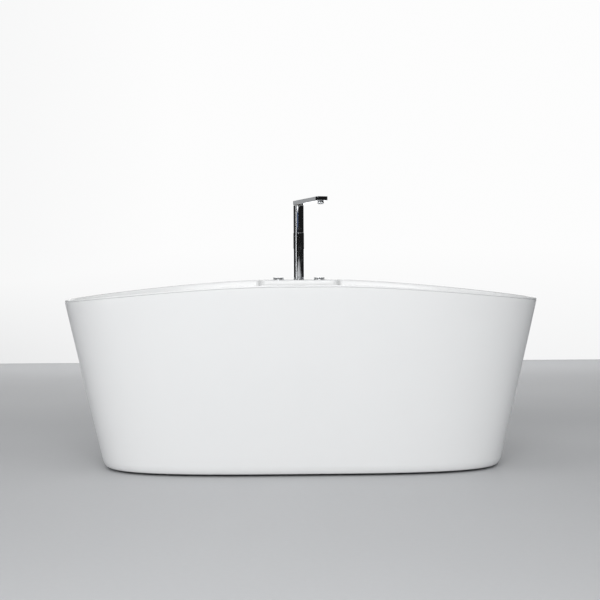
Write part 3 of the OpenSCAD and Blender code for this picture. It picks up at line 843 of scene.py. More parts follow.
@dataclass(frozen=True)
class PowderCoat(Finish):
    """Baked powder paint on steel tube, with chips down to the metal."""

    colour: Colour = (0.075, 0.078, 0.082)
    worn: Colour = (0.32, 0.31, 0.3)

    def draw(self, graph: Graph, shader: bpy.types.Node) -> None:
        """Peel the paint finely and chip it here and there.

        Args:
            graph: The material's tree.
            shader: The shader that it feeds.
        """
        grain = Grain().use(graph, Scale=750.0, Patch=14.0)
        worn = graph.ranged(graph.noise(graph.place(170.0), 8.0), 0.69, 0.72, 0.0, 1.0)
        lighter = tuple(c * 1.45 for c in self.colour)
        paint = graph.mixed(grain["Tone"], self.colour, lighter)
        chipped = graph.mixed(worn, paint, self.worn)
        dusty = Settled().use(graph, Colour=chipped, Amount=0.4, Scale=25.0)
        rough = graph.ranged(grain["Tone"], 0.0, 1.0, 0.42, 0.56)
        graph.feed(shader, Base_Color=dusty["Colour"], Roughness=rough, Metallic=worn)
        self.relief(graph, shader, grain["Height"], 0.00006)


@dataclass(frozen=True)
class Moulded(Finish):
    """Moulded plastic or enamel: an even grain, flow marks and handling sheen."""

    colour: Colour = (0.55, 0.56, 0.57)
    flow: Colour = (0.5, 0.51, 0.53)
    gloss: float = 0.38
    dull: float = 0.55
    depth: float = 0.00002
    dust: float = 0.15

    def draw(self, graph: Graph, shader: bpy.types.Node) -> None:
        """Grain the skin and let the colour drift with the flow.

        Args:
            graph: The material's tree.
            shader: The shader that it feeds.
        """
        grain = Grain().use(graph, Scale=1300.0, Patch=18.0)
        marks = Handling().use(graph, Scale=32.0, Gloss=self.gloss, Dull=self.dull, Spots=0.3)
        body = graph.mixed(grain["Tone"], self.colour, self.flow)
        dusty = Settled().use(graph, Colour=body, Amount=self.dust, Scale=60.0)
        graph.feed(shader, Base_Color=dusty["Colour"], Roughness=marks["Roughness"], IOR=1.5)
        self.relief(graph, shader, grain["Height"], self.depth)


@dataclass(frozen=True)
class Rubber(Finish):
    """Dark moulded rubber, slightly bloomed."""

    colour: Colour = (0.022, 0.022, 0.023)
    bloom: Colour = (0.07, 0.07, 0.068)

    def draw(self, graph: Graph, shader: bpy.types.Node) -> None:
        """Grain the rubber and bloom it in patches.

        Args:
            graph: The material's tree.
            shader: The shader that it feeds.
        """
        grain = Grain().use(graph, Scale=1100.0, Patch=38.0)
        body = graph.mixed(grain["Tone"], self.colour, self.bloom)
        dusty = Settled().use(graph, Colour=body, Amount=0.25, Scale=70.0)
        rough = graph.ranged(grain["Tone"], 0.0, 1.0, 0.62, 0.8)
        graph.feed(shader, Base_Color=dusty["Colour"], Roughness=rough)
        self.relief(graph, shader, grain["Height"], 0.00005)


@dataclass(frozen=True)
class Plywood(Finish):
    """Sealed birch plywood: long grain on the faces and stacked plies at the edges."""

    pale: Colour = (0.62, 0.45, 0.26)
    dark: Colour = (0.42, 0.27, 0.13)
    ply: float = 0.0016

    def draw(self, graph: Graph, shader: bpy.types.Node) -> None:
        """Run grain along X, and show the plies where a face stands upright.

        Args:
            graph: The material's tree.
            shader: The shader that it feeds.
        """
        lines = Streaks().use(graph, Along_X=5.0, Along_Y=190.0, Along_Z=190.0, Depth=1.0)
        where = graph.node("SeparateXYZ", Vector=graph.node("TexCoord").outputs["Object"])
        layer = graph.math("FLOOR", graph.math("DIVIDE", where.outputs["Z"], self.ply))
        odd = graph.math("ABSOLUTE", graph.math("MODULO", layer, 2.0))
        edge = graph.ranged(graph.math("ABSOLUTE", graph.facing_up()), 0.3, 0.7, 1.0, 0.0)
        banded = graph.math("MULTIPLY", odd, graph.math("MULTIPLY", edge, 0.75))
        tone = graph.math("ADD", graph.math("MULTIPLY", lines["Tone"], 0.6), banded, clamp=True)
        wood = graph.mixed(tone, self.pale, self.dark)
        dusty = Settled().use(graph, Colour=wood, Amount=0.2, Scale=22.0)
        rough = graph.ranged(tone, 0.0, 1.0, 0.5, 0.68)
        graph.feed(shader, Base_Color=dusty["Colour"], Roughness=rough)
        self.relief(graph, shader, lines["Height"], 0.00012)


@dataclass(frozen=True)
class StudioFloor(Finish):
    """Matte grey studio floor, slightly uneven in tone."""

    colour: Colour = (0.52, 0.526, 0.535)
    second: Colour = (0.488, 0.494, 0.504)

    def draw(self, graph: Graph, shader: bpy.types.Node) -> None:
        """Drift the grey slowly and keep a low sheen.

        Args:
            graph: The material's tree.
            shader: The shader that it feeds.
        """
        skin = Ripple().use(graph, Slow=0.8, Fine=60.0, Share=0.4)
        tone = graph.mixed(skin["Tone"], self.colour, self.second)
        rough = graph.ranged(skin["Height"], 0.3, 0.7, 0.5, 0.62)
        graph.feed(shader, Base_Color=tone, Roughness=rough)
        self.relief(graph, shader, skin["Height"], 0.0002)


# The basin's white is painted darker than the skirt's, though both are one acrylic: painted shade for
# the basin's shadowed inside, which also darkens its rim and deck.
SHADED_BASIN_ACRYLIC = CastAcrylic("basin_acrylic_painted_shade", colour=(0.82, 0.822, 0.82), shade=(0.805, 0.81, 0.81))
SKIRT_ACRYLIC = CastAcrylic("skirt_acrylic", gloss=0.29, dull=0.34, dust=0.03)
TAP_CHROME = Chrome("tap_chrome")
TRIM_CHROME = Chrome("trim_chrome", gloss=0.06, dull=0.2)
BRASS = DrawnMetal("turned_brass")
COPPER = DrawnMetal(
    "drawn_copper",
    bright=(0.78, 0.4, 0.25),
    dark=(0.36, 0.15, 0.09),
    along=(900.0, 900.0, 6.0),
    gloss=0.22,
    dull=0.42,
    tarnish=35.0,
)
ZINC = Zinc("zinc_plate")
COAT = PowderCoat("powder_coat")
PAD_RUBBER = Rubber("pad_rubber_black")
SEAL_RUBBER = Rubber("seal_rubber_black", colour=(0.03, 0.03, 0.032), bloom=(0.09, 0.09, 0.09))
GREY_PLASTIC = Moulded("pipe_grey")
WHITE_PLASTIC = Moulded("pipe_white", colour=(0.78, 0.78, 0.76), flow=(0.7, 0.7, 0.67))
SLIP_PLASTIC = Moulded("bearing_white", colour=(0.8, 0.8, 0.77), flow=(0.74, 0.74, 0.71), gloss=0.28)
RED_ENAMEL = Moulded(
    "enamel_red", colour=(0.5, 0.012, 0.01), flow=(0.4, 0.008, 0.008), gloss=0.1, dull=0.22, dust=0.03
)
BLUE_ENAMEL = Moulded(
    "enamel_blue", colour=(0.01, 0.05, 0.42), flow=(0.01, 0.04, 0.32), gloss=0.1, dull=0.22, dust=0.03
)
PLYWOOD = Plywood("birch_ply")


# ---- Tub ----------------------------------------------------------------------------------------


@dataclass(frozen=True)
class Station:
    """One place round the tub, found by angle at the ends and by distance along the sides."""

    at_end: bool
    place: float
    side: int
    deck: float


@dataclass
class TubForm:
    """The plan and the rim line that the basin and the skirt share."""

    half_l: float
    half_w: float
    mid_h: float
    rim_fall: float = 0.059
    rim_power: float = 2.5
    level_half: float = 0.108
    arch_power: float = 1.5
    last_angle: float = math.radians(75)
    end_steps: int = 44
    deck_half: float = 0.155
    deck_depth: float = 0.11
    deck_convex: float = 0.024
    deck_concave: float = 0.014
    deck_lean: float = 0.001
    corner_steps: int = 9
    side_marks: tuple[float, ...] = (0.258, 0.229, 0.2)
    deck_marks: tuple[float, ...] = (0.08, 0.054, 0.027)
    near_marks: tuple[float, ...] = (0.258, 0.21, 0.16, 0.108, 0.054)
    rim_w: float = 0.028
    sheet: float = 0.006
    foot_inset_l: float = 0.25
    closing: float = 0.48

    @property
    def recess(self) -> float:
        """Depth of the deck behind the basin's inner edge."""
        return self.deck_depth - self.rim_w

    @property
    def window_l(self) -> float:
        """Half length at which the side stations start to close up."""
        return blend(self.half_l - self.foot_inset_l, self.half_l - self.rim_w, self.closing)

    def rim_line(self, x: float) -> float:
        """Height of the rim's top at a distance along the tub."""
        along = max(0.0, (abs(x) - self.level_half) / (self.half_l - self.level_half))
        return self.mid_h - self.rim_fall * along**self.arch_power

    def deck_side(self, offset: float) -> list[Point]:
        """Trace half of the deck, from its foot on the wall to its middle.

        Args:
            offset: How far the line lies inside the deck's own outline.

        Returns:
            Pairs of distance along the tub and share of the deck's depth.
        """
        line: list[Point] = []
        for k in range(self.corner_steps, -1, -1):
            turn = math.pi / 2 * k / self.corner_steps
            radius = self.deck_concave + offset
            x = self.deck_half + self.deck_lean - offset + radius * (1 - math.cos(turn))
            line.append((x, radius / self.recess * (1 - math.sin(turn))))
        for k in range(self.corner_steps, -1, -1):
            turn = math.pi / 2 * k / self.corner_steps
            radius = self.deck_convex - offset
            x = self.deck_half - self.deck_convex - self.deck_lean + radius * math.sin(turn)
            line.append((x, 1 - radius / self.recess * (1 - math.cos(turn))))
        return line + [(x, 1.0) for x in (self.level_half, *self.deck_marks)]

    def stations(self, offset: float = 0.0) -> list[Station]:
        """List the places round the tub, anticlockwise from the right-hand end.

        Args:
            offset: How far the deck's line is pulled in.

        Returns:
            The same number of stations for every offset.
        """
        angles = [self.last_angle * k / self.end_steps for k in range(self.end_steps + 1)]
        half_side = [(x, 0.0) for x in self.side_marks] + self.deck_side(offset)
        far = half_side + [(0.0, 1.0)] + [(-x, share) for x, share in reversed(half_side)]
        near = [-x for x in self.near_marks] + [0.0] + list(reversed(self.near_marks))
        made = [Station(True, a, 1, 0.0) for a in angles]
        made += [Station(False, x, 1, share) for x, share in far]
        made += [Station(True, math.pi - a, 1, 0.0) for a in reversed(angles)]
        made += [Station(True, math.pi + a, -1, 0.0) for a in angles[1:]]
        made += [Station(False, x, -1, 0.0) for x in near]
        made += [Station(True, -a, -1, 0.0) for a in reversed(angles[1:])]
        return made

    def spot(self, s: Station, a: float, b: float, power: float, recess: float) -> Point:
        """Place a station on an outline.

        Args:
            s: The station.
            a: The outline's half length.
            b: The outline's half width.
            power: The outline's roundness.
            recess: How far the deck pulls the far side in.

        Returns:
            The point's X and Y.
        """
        if s.at_end:
            x = a * signed_power(math.cos(s.place), 2 / power)
            return x, b * signed_power(math.sin(s.place), 2 / power)
        x = s.place * min(1.0, a / self.window_l)
        return x, s.side * side_depth(x, a, b, power) - s.deck * recess

    def rim_at(self, s: Station) -> float:
        """Height of the rim's top at a station."""
        return self.rim_line(self.spot(s, self.half_l, self.half_w, self.rim_power, 0)[0])


@dataclass
class Basin:
    """The moulded basin: sump, floor, bend, wall, deck, rim and the same sheet's underside."""

    form: TubForm
    floor_z: float = 0.15
    floor_fall: float = 0.005
    foot_inset_w: float = 0.148
    floor_power: float = 3.0
    edge_drop: float = 0.006
    edge_in: float = 0.0065
    deck_soft: float = 0.012
    bend_from: float = 0.8
    bend_to: float = 0.8
    mid_floor: float = 0.126
    fall_power: float = 1.2
    sump_r: float = 0.07
    sump_spread: float = 0.9
    waste_r: float = 0.026
    lip_r: float = 0.003
    lip_under: float = 0.0013
    slope_slack: float = 1.05
    tap_hole_r: float = 0.017
    overflow_hole_r: float = 0.022
    overflow_z: float = 0.52
    cut: float = 0.02
    wall_steps: int = 14
    bend_steps: int = 10
    floor_steps: int = 8
    edge_steps: int = 7
    lip_steps: int = 5

    @property
    def inner(self) -> Point:
        """Half length and half width at the rim's inner edge."""
        return self.form.half_l - self.form.rim_w, self.form.half_w - self.form.rim_w

    @property
    def foot(self) -> Point:
        """Half length and half width where the wall's line meets the floor."""
        return self.form.half_l - self.form.foot_inset_l, self.form.half_w - self.foot_inset_w

    @property
    def lean(self) -> float:
        """Lean of the long side's wall from upright, in radians."""
        drop = self.form.mid_h - self.edge_drop - self.floor_z
        return math.atan2(self.inner[1] - self.foot[1], drop)

    @property
    def overflow_place(self) -> Matrix:
        """Frame on the near wall at the overflow, with Z pointing into the basin."""
        top = self.form.mid_h - self.edge_drop
        share = (top - self.overflow_z) / (top - self.floor_z)
        y = -blend(self.inner[1], self.foot[1], share)
        turn = Matrix.Rotation(self.lean - math.pi / 2, 4, "X")
        return Matrix.Translation((0, y, self.overflow_z)) @ turn

    def deck_out(self, b: float) -> float:
        """Projection of the deck beyond a wall of half width b, eased where the two meet."""
        past = b - (self.form.half_w - self.form.deck_depth)
        return (past + math.sqrt(past * past + self.deck_soft**2)) / 2

    def wall_ring(self, table: list[Station], share: float, grow: float) -> Ring:
        """Make one ring of the wall.

        Args:
            table: The stations.
            share: Share of the way from the rim to the floor.
            grow: How far outside the inner face the ring lies.

        Returns:
            The ring's points.
        """
        form, (in_l, in_w), (foot_l, foot_w) = self.form, self.inner, self.foot
        a, b = blend(in_l, foot_l, share) + grow, blend(in_w, foot_w, share) + grow
        power = blend(form.rim_power, self.floor_power, share)
        recess = self.deck_out(b - grow)
        ring = []
        for s in table:
            height = blend(form.rim_at(s) - self.edge_drop, self.floor_z, share)
            ring.append(Vector((*form.spot(s, a, b, power, recess), height)))
        return ring

    def bend_ring(self, table: list[Station], t: float, grow: float, sink: float) -> Ring:
        """Make one ring of the bend between wall and floor.

        Args:
            table: The stations.
            t: Share of the way round the bend.
            grow: How far outside the inner face the ring starts.
            sink: How far below the floor the ring ends.

        Returns:
            The ring's points.
        """
        form, (in_l, in_w), (foot_l, foot_w) = self.form, self.inner, self.foot
        low = self.floor_z + self.floor_fall
        start_l, start_w = blend(in_l, foot_l, self.bend_from), blend(in_w, foot_w, self.bend_from)
        a = curve(start_l, foot_l, foot_l * self.bend_to, t) + grow * (1 - t)
        b = curve(start_w, foot_w, foot_w * self.bend_to, t) + grow * (1 - t)
        first_power = blend(form.rim_power, self.floor_power, self.bend_from)
        power = blend(first_power, self.floor_power, t)
        recess = self.deck_out(b - grow) * (1 - t)
        ring = []
        for s in table:
            start = blend(form.rim_at(s) - self.edge_drop, self.floor_z, self.bend_from)
            height = curve(start, low, low, t) - sink * t
            ring.append(Vector((*form.spot(s, a, b, power, recess), height)))
        return ring

    def floor_rings(self, table: list[Station], sink: float) -> list[Ring]:
        """Make the rings of the floor, from the waste hole out to the bend.

        Args:
            table: The stations.
            sink: How far below the floor's top they lie.

        Returns:
            The rings, innermost first.
        """
        foot_l, foot_w = self.foot
        rings: list[Ring] = []
        for radius in (self.waste_r, 0.04, 0.055, self.sump_r):
            ring = []
            for s in table:
                x, y = self.form.spot(s, foot_l, foot_w, self.floor_power, 0)
                turn = math.atan2(y / foot_w, x / foot_l)
                ring.append(Vector((*on_circle(radius, turn), self.floor_z - sink)))
            rings.append(ring)
        sump = rings[-1]
        for k in range(1, self.floor_steps + 1):
            share = k / self.floor_steps
            size, spread = blend(self.mid_floor, self.bend_to, share), 1 + self.sump_spread * share
            height = self.floor_z - sink + self.floor_fall * share**self.fall_power
            ring = []
            for s, hole in zip(table, sump):
                x, y = self.form.spot(s, foot_l * size, foot_w * size, self.floor_power, 0)
                round_spot = Vector((hole.x * spread, hole.y * spread, height))
                ring.append(Vector((x, y, height)).lerp(round_spot, (1 - share) ** 2))
            rings.append(ring)
        return rings[:-1]

    def edge_ring(
        self, table: list[Station], reach: float, drop: float, recess: float, outer: bool
    ) -> Ring:
        """Make one ring of the rim.

        Args:
            table: The stations.
            reach: Distance from the rim's outer or inner edge.
            drop: Depth below the rim's top.
            recess: How far the deck pulls the far side in.
            outer: Measure the reach from the outer edge, inwards.

        Returns:
            The ring's points.
        """
        form = self.form
        a = form.half_l - reach if outer else self.inner[0] + reach
        b = form.half_w - reach if outer else self.inner[1] + reach
        return [
            Vector((*form.spot(s, a, b, form.rim_power, recess), form.rim_at(s) - drop))
            for s in table
        ]

    def rim_rings(self) -> list[Ring]:
        """Make the rounded inner edge, the flat top and the rounded outer lip.

        Returns:
            The rings, from the wall to the lip's underside.
        """
        form, deck = self.form, self.deck_out(self.inner[1])
        rings: list[Ring] = []
        toe = self.edge_drop * math.tan(self.lean)
        for k in range(1, self.edge_steps + 1):
            t = k / self.edge_steps
            reach, drop = curve(0, toe, self.edge_in, t), curve(self.edge_drop, 0, 0, t)
            rings.append(self.edge_ring(form.stations(reach), reach, drop, deck, False))
        table = form.stations(self.edge_in)
        for share in (0.35, 0.7):
            inside = self.edge_ring(table, self.edge_in, 0, deck, False)
            outside = self.edge_ring(table, self.lip_r, 0, 0, True)
            rings.append([p.lerp(q, share) for p, q in zip(inside, outside)])
        for k in range(self.lip_steps + 1):
            turn = math.pi / 2 * k / self.lip_steps
            reach = self.lip_r * (1 - math.sin(turn))
            drop = self.lip_r * (1 - math.cos(turn))
            rings.append(self.edge_ring(table, reach, drop, 0, True))
        for reach, lift in ((0.0001, 0.0012), (0.0005, 0.0003), (self.lip_under, 0.0)):
            rings.append(self.edge_ring(table, reach, form.sheet - lift, 0, True))
        return rings

    def skin(self) -> Skin:
        """Loft the whole sheet as one closed skin.

        Returns:
            The skin: its upper face from the waste out to the lip, then its underside back in.
        """
        form, deck = self.form, self.deck_out(self.inner[1])
        face, back = form.stations(), form.stations(form.sheet)
        shares = [k / self.wall_steps * self.bend_from for k in range(self.wall_steps)]
        turns = [k / self.bend_steps for k in range(self.bend_steps + 1)]
        slope = form.sheet * self.slope_slack
        rings = self.floor_rings(face, 0.0)
        rings += [self.bend_ring(face, t, 0, 0) for t in reversed(turns)]
        rings += [self.wall_ring(face, share, 0) for share in reversed(shares)]
        rings += self.rim_rings()
        rings.append(self.edge_ring(back, 0.01, form.sheet, deck, False))
        rings.append(self.edge_ring(back, slope + 0.0006, form.sheet + 0.004, deck, False))
        rings += [self.wall_ring(back, share, slope) for share in shares[3:]]
        rings += [self.bend_ring(back, t, slope, form.sheet) for t in turns]
        rings += list(reversed(self.floor_rings(back, form.sheet)))
        return Skin().loft(rings)

    def holes(self) -> list[Skin]:
        """Make the forms of the three tap holes and the overflow hole.

        Returns:
            Plugs that reach through the sheet.
        """
        made = []
        radius, top, cut = self.tap_hole_r, self.form.mid_h, self.cut
        profile = [(0, top - cut), (radius, top - cut), (radius, top + cut), (0, top + cut)]
        depth = axis_place("column_lower").translation.y
        for node in ("hot_valve", "column_lower", "cold_valve"):
            place = Matrix.Translation((axis_place(node).translation.x, depth, 0))
            made.append(Skin().turned(profile, 64, place))
        radius = self.overflow_hole_r
        profile = [(0, -cut), (radius, -cut), (radius, cut / 2), (0, cut / 2)]
        made.append(Skin().turned(profile, 64, self.overflow_place))
        return made

    def build(self) -> bpy.types.Object:
        """Make the basin and dress it.

        Returns:
            The basin.
        """
        mesh = cut_away(self.skin().mesh("basin_sheet"), self.holes())
        return add_piece("basin_sheet", mesh, SHADED_BASIN_ACRYLIC, Body.TUB, ["basin"])


@dataclass
class Skirt:
    """The outer skirt: one leaning sheet with a rolled foot and a flange under it."""

    form: TubForm
    foot_half_l: float = 0.7075
    foot_half_w: float = 0.325
    foot_power: float = 3.4
    gap: float = 0.009
    sheet: float = 0.006
    flange: float = 0.034
    flange_edge: Point = (0.002, 0.0015)
    roll_in: float = 0.009
    roll_up: float = 0.032
    roll_steps: int = 14
    side_steps: int = 26
    back_steps: int = 12
    seam: float = 0.0004

    def ring(self, table: list[Station], share: float, inset: float, lift: float) -> Ring:
        """Make one ring of the skirt.

        Args:
            table: The stations.
            share: Share of the way from the foot to the rim.
            inset: How far inside the outer face the ring lies.
            lift: Height above the share's own height.

        Returns:
            The ring's points.
        """
        form = self.form
        a = blend(self.foot_half_l, form.half_l, share) - inset
        b = blend(self.foot_half_w, form.half_w, share) - inset
        power = blend(self.foot_power, form.rim_power, share)
        ring = []
        for s in table:
            top = form.rim_at(s) - form.sheet - self.seam
            height = blend(self.gap, top, share) + lift
            ring.append(Vector((*form.spot(s, a, b, power, 0), height)))
        return ring

    def build(self) -> bpy.types.Object:
        """Make the skirt and dress it.

        Returns:
            The skirt.
        """
        start, (edge_in, edge_up) = self.roll_up / self.form.mid_h, self.flange_edge
        # Each place is a share of the way up, an inset and a lift: first the flange and the rolled
        # foot, then the outer face up to its rounded top edge, then the inner face back down.
        places = [(0, self.flange, edge_up), (0, self.flange - edge_in, 0)]
        for k in range(self.roll_steps):
            turn = math.pi / 2 * k / self.roll_steps
            places.append((start * (1 - math.cos(turn)), self.roll_in * (1 - math.sin(turn)), 0))
        steps = range(self.side_steps + 1)
        places += [(blend(start, 0.994, k / self.side_steps), 0, 0) for k in steps]
        places += [(0.9985, 0.0003, 0), (1, 0.0014, 0), (1, self.sheet + 0.0006, 0)]
        steps = range(1, self.back_steps + 1)
        places += [(blend(1, start, k / self.back_steps), self.sheet, 0) for k in steps]
        places += [(0.012, self.sheet + 0.003, 0.003), (0, 2 * self.roll_in, self.sheet)]
        places += [(0, self.flange - edge_in, self.sheet), (0, self.flange, self.sheet - edge_up)]
        table = self.form.stations()
        mesh = Skin().loft([self.ring(table, *place) for place in places]).mesh("skirt_sheet")
        return add_piece("skirt_sheet", mesh, SKIRT_ACRYLIC, Body.TUB, ["skirt"])


# ---- Tap ----------------------------------------------------------------------------------------


@dataclass
class Column:
    """The tap's two-part column, with a fine groove above its foot and the gasket under it."""

    edge: float = 0.0006
    fine_edge: float = 0.0003
    step: float = 0.001
    bore: float = 0.014
    neck_gap: float = 0.0001
    neck_l: float = 0.02
    water_r: float = 0.0093
    socket_l: float = 0.055
    groove_from: float = 0.0022
    groove_to: float = 0.0038
    groove_depth: float = 0.0004
    seal_bore: float = 0.0132

    def tube(self) -> bpy.types.Object:
        """Turn the lower section, with its groove.

        Returns:
            The section.
        """
        low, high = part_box("column_lower")
        wide, depth = (high.x - low.x) / 2, self.groove_depth
        start, end = low.z + self.groove_from, low.z + self.groove_to
        line = [
            (self.bore, low.z),
            (wide, low.z),
            (wide, start),
            (wide - depth, start + depth),
            (wide - depth, end - depth),
            (wide, end),
            (wide, high.z),
            (self.bore, high.z),
        ]
        radii = [0, 0.0005, self.fine_edge, 0.0002, 0.0002, self.fine_edge, self.edge, 0]
        skin = Skin().turned(softened(line, radii), 128, axis_place("column_lower"))
        mesh = skin.mesh("column_tube")
        return add_piece("column_tube", mesh, TAP_CHROME, Body.TUB, ["column_lower"])

    def head(self) -> bpy.types.Object:
        """Turn the upper section, with its neck in the lower one and the swivel's socket.

        Returns:
            The section.
        """
        (low, high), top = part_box("column_lower"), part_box("column_upper")[1].z
        slim, neck = (high.x - low.x) / 2 - self.step, self.bore - self.neck_gap
        line = [
            (self.water_r, high.z - self.neck_l),
            (neck, high.z - self.neck_l),
            (neck, high.z),
            (slim, high.z),
            (slim, top),
            (self.bore, top),
            (self.bore, top - self.socket_l),
            (self.water_r, top - self.socket_l),
        ]
        radii = [0, self.fine_edge, 0, self.edge, self.edge, self.fine_edge, 0, 0]
        skin = Skin().turned(softened(line, radii), 128, axis_place("column_lower"))
        mesh = skin.mesh("column_head")
        return add_piece("column_head", mesh, TAP_CHROME, Body.TUB, ["column_upper"])

    def build(self) -> None:
        """Make and dress the column's two sections and its gasket."""
        self.tube()
        self.head()
        low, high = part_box("column_gasket")
        outer, bore = (high.x - low.x) / 2, self.seal_bore
        ring = [(bore, low.z), (outer, low.z), (outer, high.z), (bore, high.z)]
        line = softened(ring, [0, 0.0005, 0.0005, 0])
        mesh = Skin().turned(line, 96, axis_place("column_lower")).mesh("foot_seal")
        add_piece("foot_seal", mesh, SEAL_RUBBER, Body.TUB, ["column_gasket"])


@dataclass
class Spout:
    """The swivelling arm: a flat bar with a round root, a journal under it and an aerator."""

    reach: float = 0.206
    half_w: float = 0.021
    thick: float = 0.016
    tilt: float = math.radians(3)
    aim: float = math.radians(-65)
    edge: float = 0.0013
    hold: float = 1.4
    corner: float = 0.0012
    root_steps: int = 48
    side_steps: int = 16
    corner_steps: int = 4
    ease: float = 0.006
    glide: float = 0.0019
    journal_r: float = 0.01195
    journal_l: float = 0.038
    seal_drops: tuple[float, float] = (0.032, 0.024)
    seal_half: float = 0.0011
    seal_depth: float = 0.0017
    bore_r: float = 0.008
    aerator_back: float = 0.018
    aerator_r: float = 0.012
    aerator_h: float = 0.012
    aerator_bore: float = 0.009
    flutes: int = 36
    flute_depth: float = 0.00035

    @property
    def middle_z(self) -> float:
        """Height of the arm's middle plane at its root."""
        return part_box("column_upper")[1].z + self.glide + self.thick / 2

    @property
    def place(self) -> Matrix:
        """Frame of the arm's root, with X along the arm before its tilt."""
        x, y, _ = axis_place("column_upper").translation
        return Matrix.Translation((x, y, self.middle_z)) @ Matrix.Rotation(self.aim, 4, "Z")

    @property
    def tip_place(self) -> Matrix:
        """Frame under the arm's tip, with Z pointing down out of the aerator."""
        tilt = Matrix.Rotation(-self.tilt, 4, "Y")
        at = Matrix.Translation((self.reach - self.aerator_back, 0, -self.thick / 2))
        return self.place @ tilt @ at @ Matrix.Rotation(math.pi, 4, "X")

    def rise(self, x: float) -> float:
        """Height gained by the tilt at a distance along the arm."""
        return math.tan(self.tilt) * (x + math.sqrt(x * x + self.ease**2)) / 2

    def half_outline(self, inset: float) -> list[Point]:
        """Trace one side of the arm's plan, from the root's back to the tip's middle.

        Args:
            inset: How far inside the full outline the line lies.

        Returns:
            Points whose second value isn't negative.
        """
        radius, corner = self.half_w - inset, self.corner
        end = self.reach - inset
        line: list[Point] = []
        for k in range(self.root_steps // 2 + 1):
            turn = k * math.pi / self.root_steps
            line.append((-radius * math.cos(turn), radius * math.sin(turn)))
        for k in range(1, self.side_steps + 1):
            line.append((blend(0, end - corner, (k / self.side_steps) ** 1.6), radius))
        for k in range(1, self.corner_steps + 1):
            turn = math.pi / 2 * k / self.corner_steps
            x = end - corner + corner * math.sin(turn)
            line.append((x, radius - corner * (1 - math.cos(turn))))
        return line + [(end, 0.0)]

    def bar(self) -> Skin:
        """Loft the arm from its rounded underside to its rounded top.

        Returns:
            The arm's skin.
        """
        levels: list[Point] = [(self.edge * self.hold, 0.0)]
        for k in range(self.corner_steps + 1):
            turn = math.pi / 2 * k / self.corner_steps
            levels.append((self.edge * (1 - math.sin(turn)), self.edge * (1 - math.cos(turn))))
        levels.append((0.0, self.edge * self.hold))
        rows = [(inset, lift - self.thick / 2) for inset, lift in levels]
        rows += [(inset, self.thick / 2 - lift) for inset, lift in reversed(levels)]
        skin, place = Skin(), self.place
        for row, (inset, height) in enumerate(rows):
            side = self.half_outline(inset)
            ring = side + [(x, -y) for x, y in reversed(side[1:-1])]
            skin.points.extend(place @ Vector((x, y, height + self.rise(x))) for x, y in ring)
            count = len(ring)
            if row:
                for i in range(count):
                    j, low, high = (i + 1) % count, (row - 1) * count, row * count
                    skin.faces.append((low + i, low + j, high + j, high + i))
        last, half = (len(rows) - 1) * count, len(side)
        # Each flat end is filled with strips from one side's points to the other's.
        for base in (0, last):
            for i in range(half - 1):
                here, there = (count - i) % count, (count - i - 1) % count
                face = [base + i, base + i + 1, base + there, base + here]
                skin.faces.append(tuple(dict.fromkeys(face)))
        return skin

    def journal(self) -> Skin:
        """Turn the journal that runs in the column's socket, with a groove for each seal.

        Returns:
            The journal's skin.
        """
        column_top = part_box("column_upper")[1].z
        inner, outer, floor = self.bore_r, self.journal_r, self.journal_r - self.seal_depth
        low, high = column_top - self.journal_l, self.middle_z - self.thick / 2 + 0.001
        line: list[Point] = [(inner, low), (outer, low)]
        for drop in self.seal_drops:
            start, end = column_top - drop - self.seal_half, column_top - drop + self.seal_half
            line += [(outer, start), (floor, start), (floor, end), (outer, end)]
        line += [(outer, high), (inner, high)]
        radii = [0.0003, 0.0004] + [0.0002] * 8 + [0, 0]
        return Skin().turned(softened(line, radii, 2), 96, axis_place("column_upper"))

    def collar(self) -> Skin:
        """Turn the aerator's ring, with its fluted grip.

        Returns:
            The ring's skin.
        """
        bore, outer, tall = self.aerator_bore, self.aerator_r, self.aerator_h
        ring = [
            (bore, 0.0),
            (outer, 0.0),
            (outer, tall - 0.0026),
            (outer - 0.0012, tall),
            (bore + 0.0008, tall),
            (bore, tall - 0.0012),
        ]
        line = softened(ring, [0, 0, 0.001, 0.0008, 0.0004, 0.0004])
        line[2:2] = [(outer, height) for height in (0.0026, 0.003, 0.0055, tall - 0.004)]

        def flute(turn: float, height: float) -> float:
            """Sink shallow flutes into the ring's grip."""
            if not 0.0028 < height < tall - 0.0038:
                return 0.0
            return -self.flute_depth * max(0.0, math.cos(turn * self.flutes)) ** 2

        return Skin().turned(line, 288, self.tip_place, flute)

    def build(self) -> None:
        """Make and dress the arm, its journal and the aerator's ring."""
        bar, collar = self.bar().mesh("spout_bar"), self.collar().mesh("aerator_collar")
        add_piece("spout_bar", bar, TAP_CHROME, Body.SPOUT, ["spout_arm"])
        journal = self.journal().mesh("spout_journal")
        add_piece("spout_journal", journal, BRASS, Body.SPOUT)
        add_piece("aerator_collar", collar, TAP_CHROME, Body.SPOUT, ["aerator_ring"])


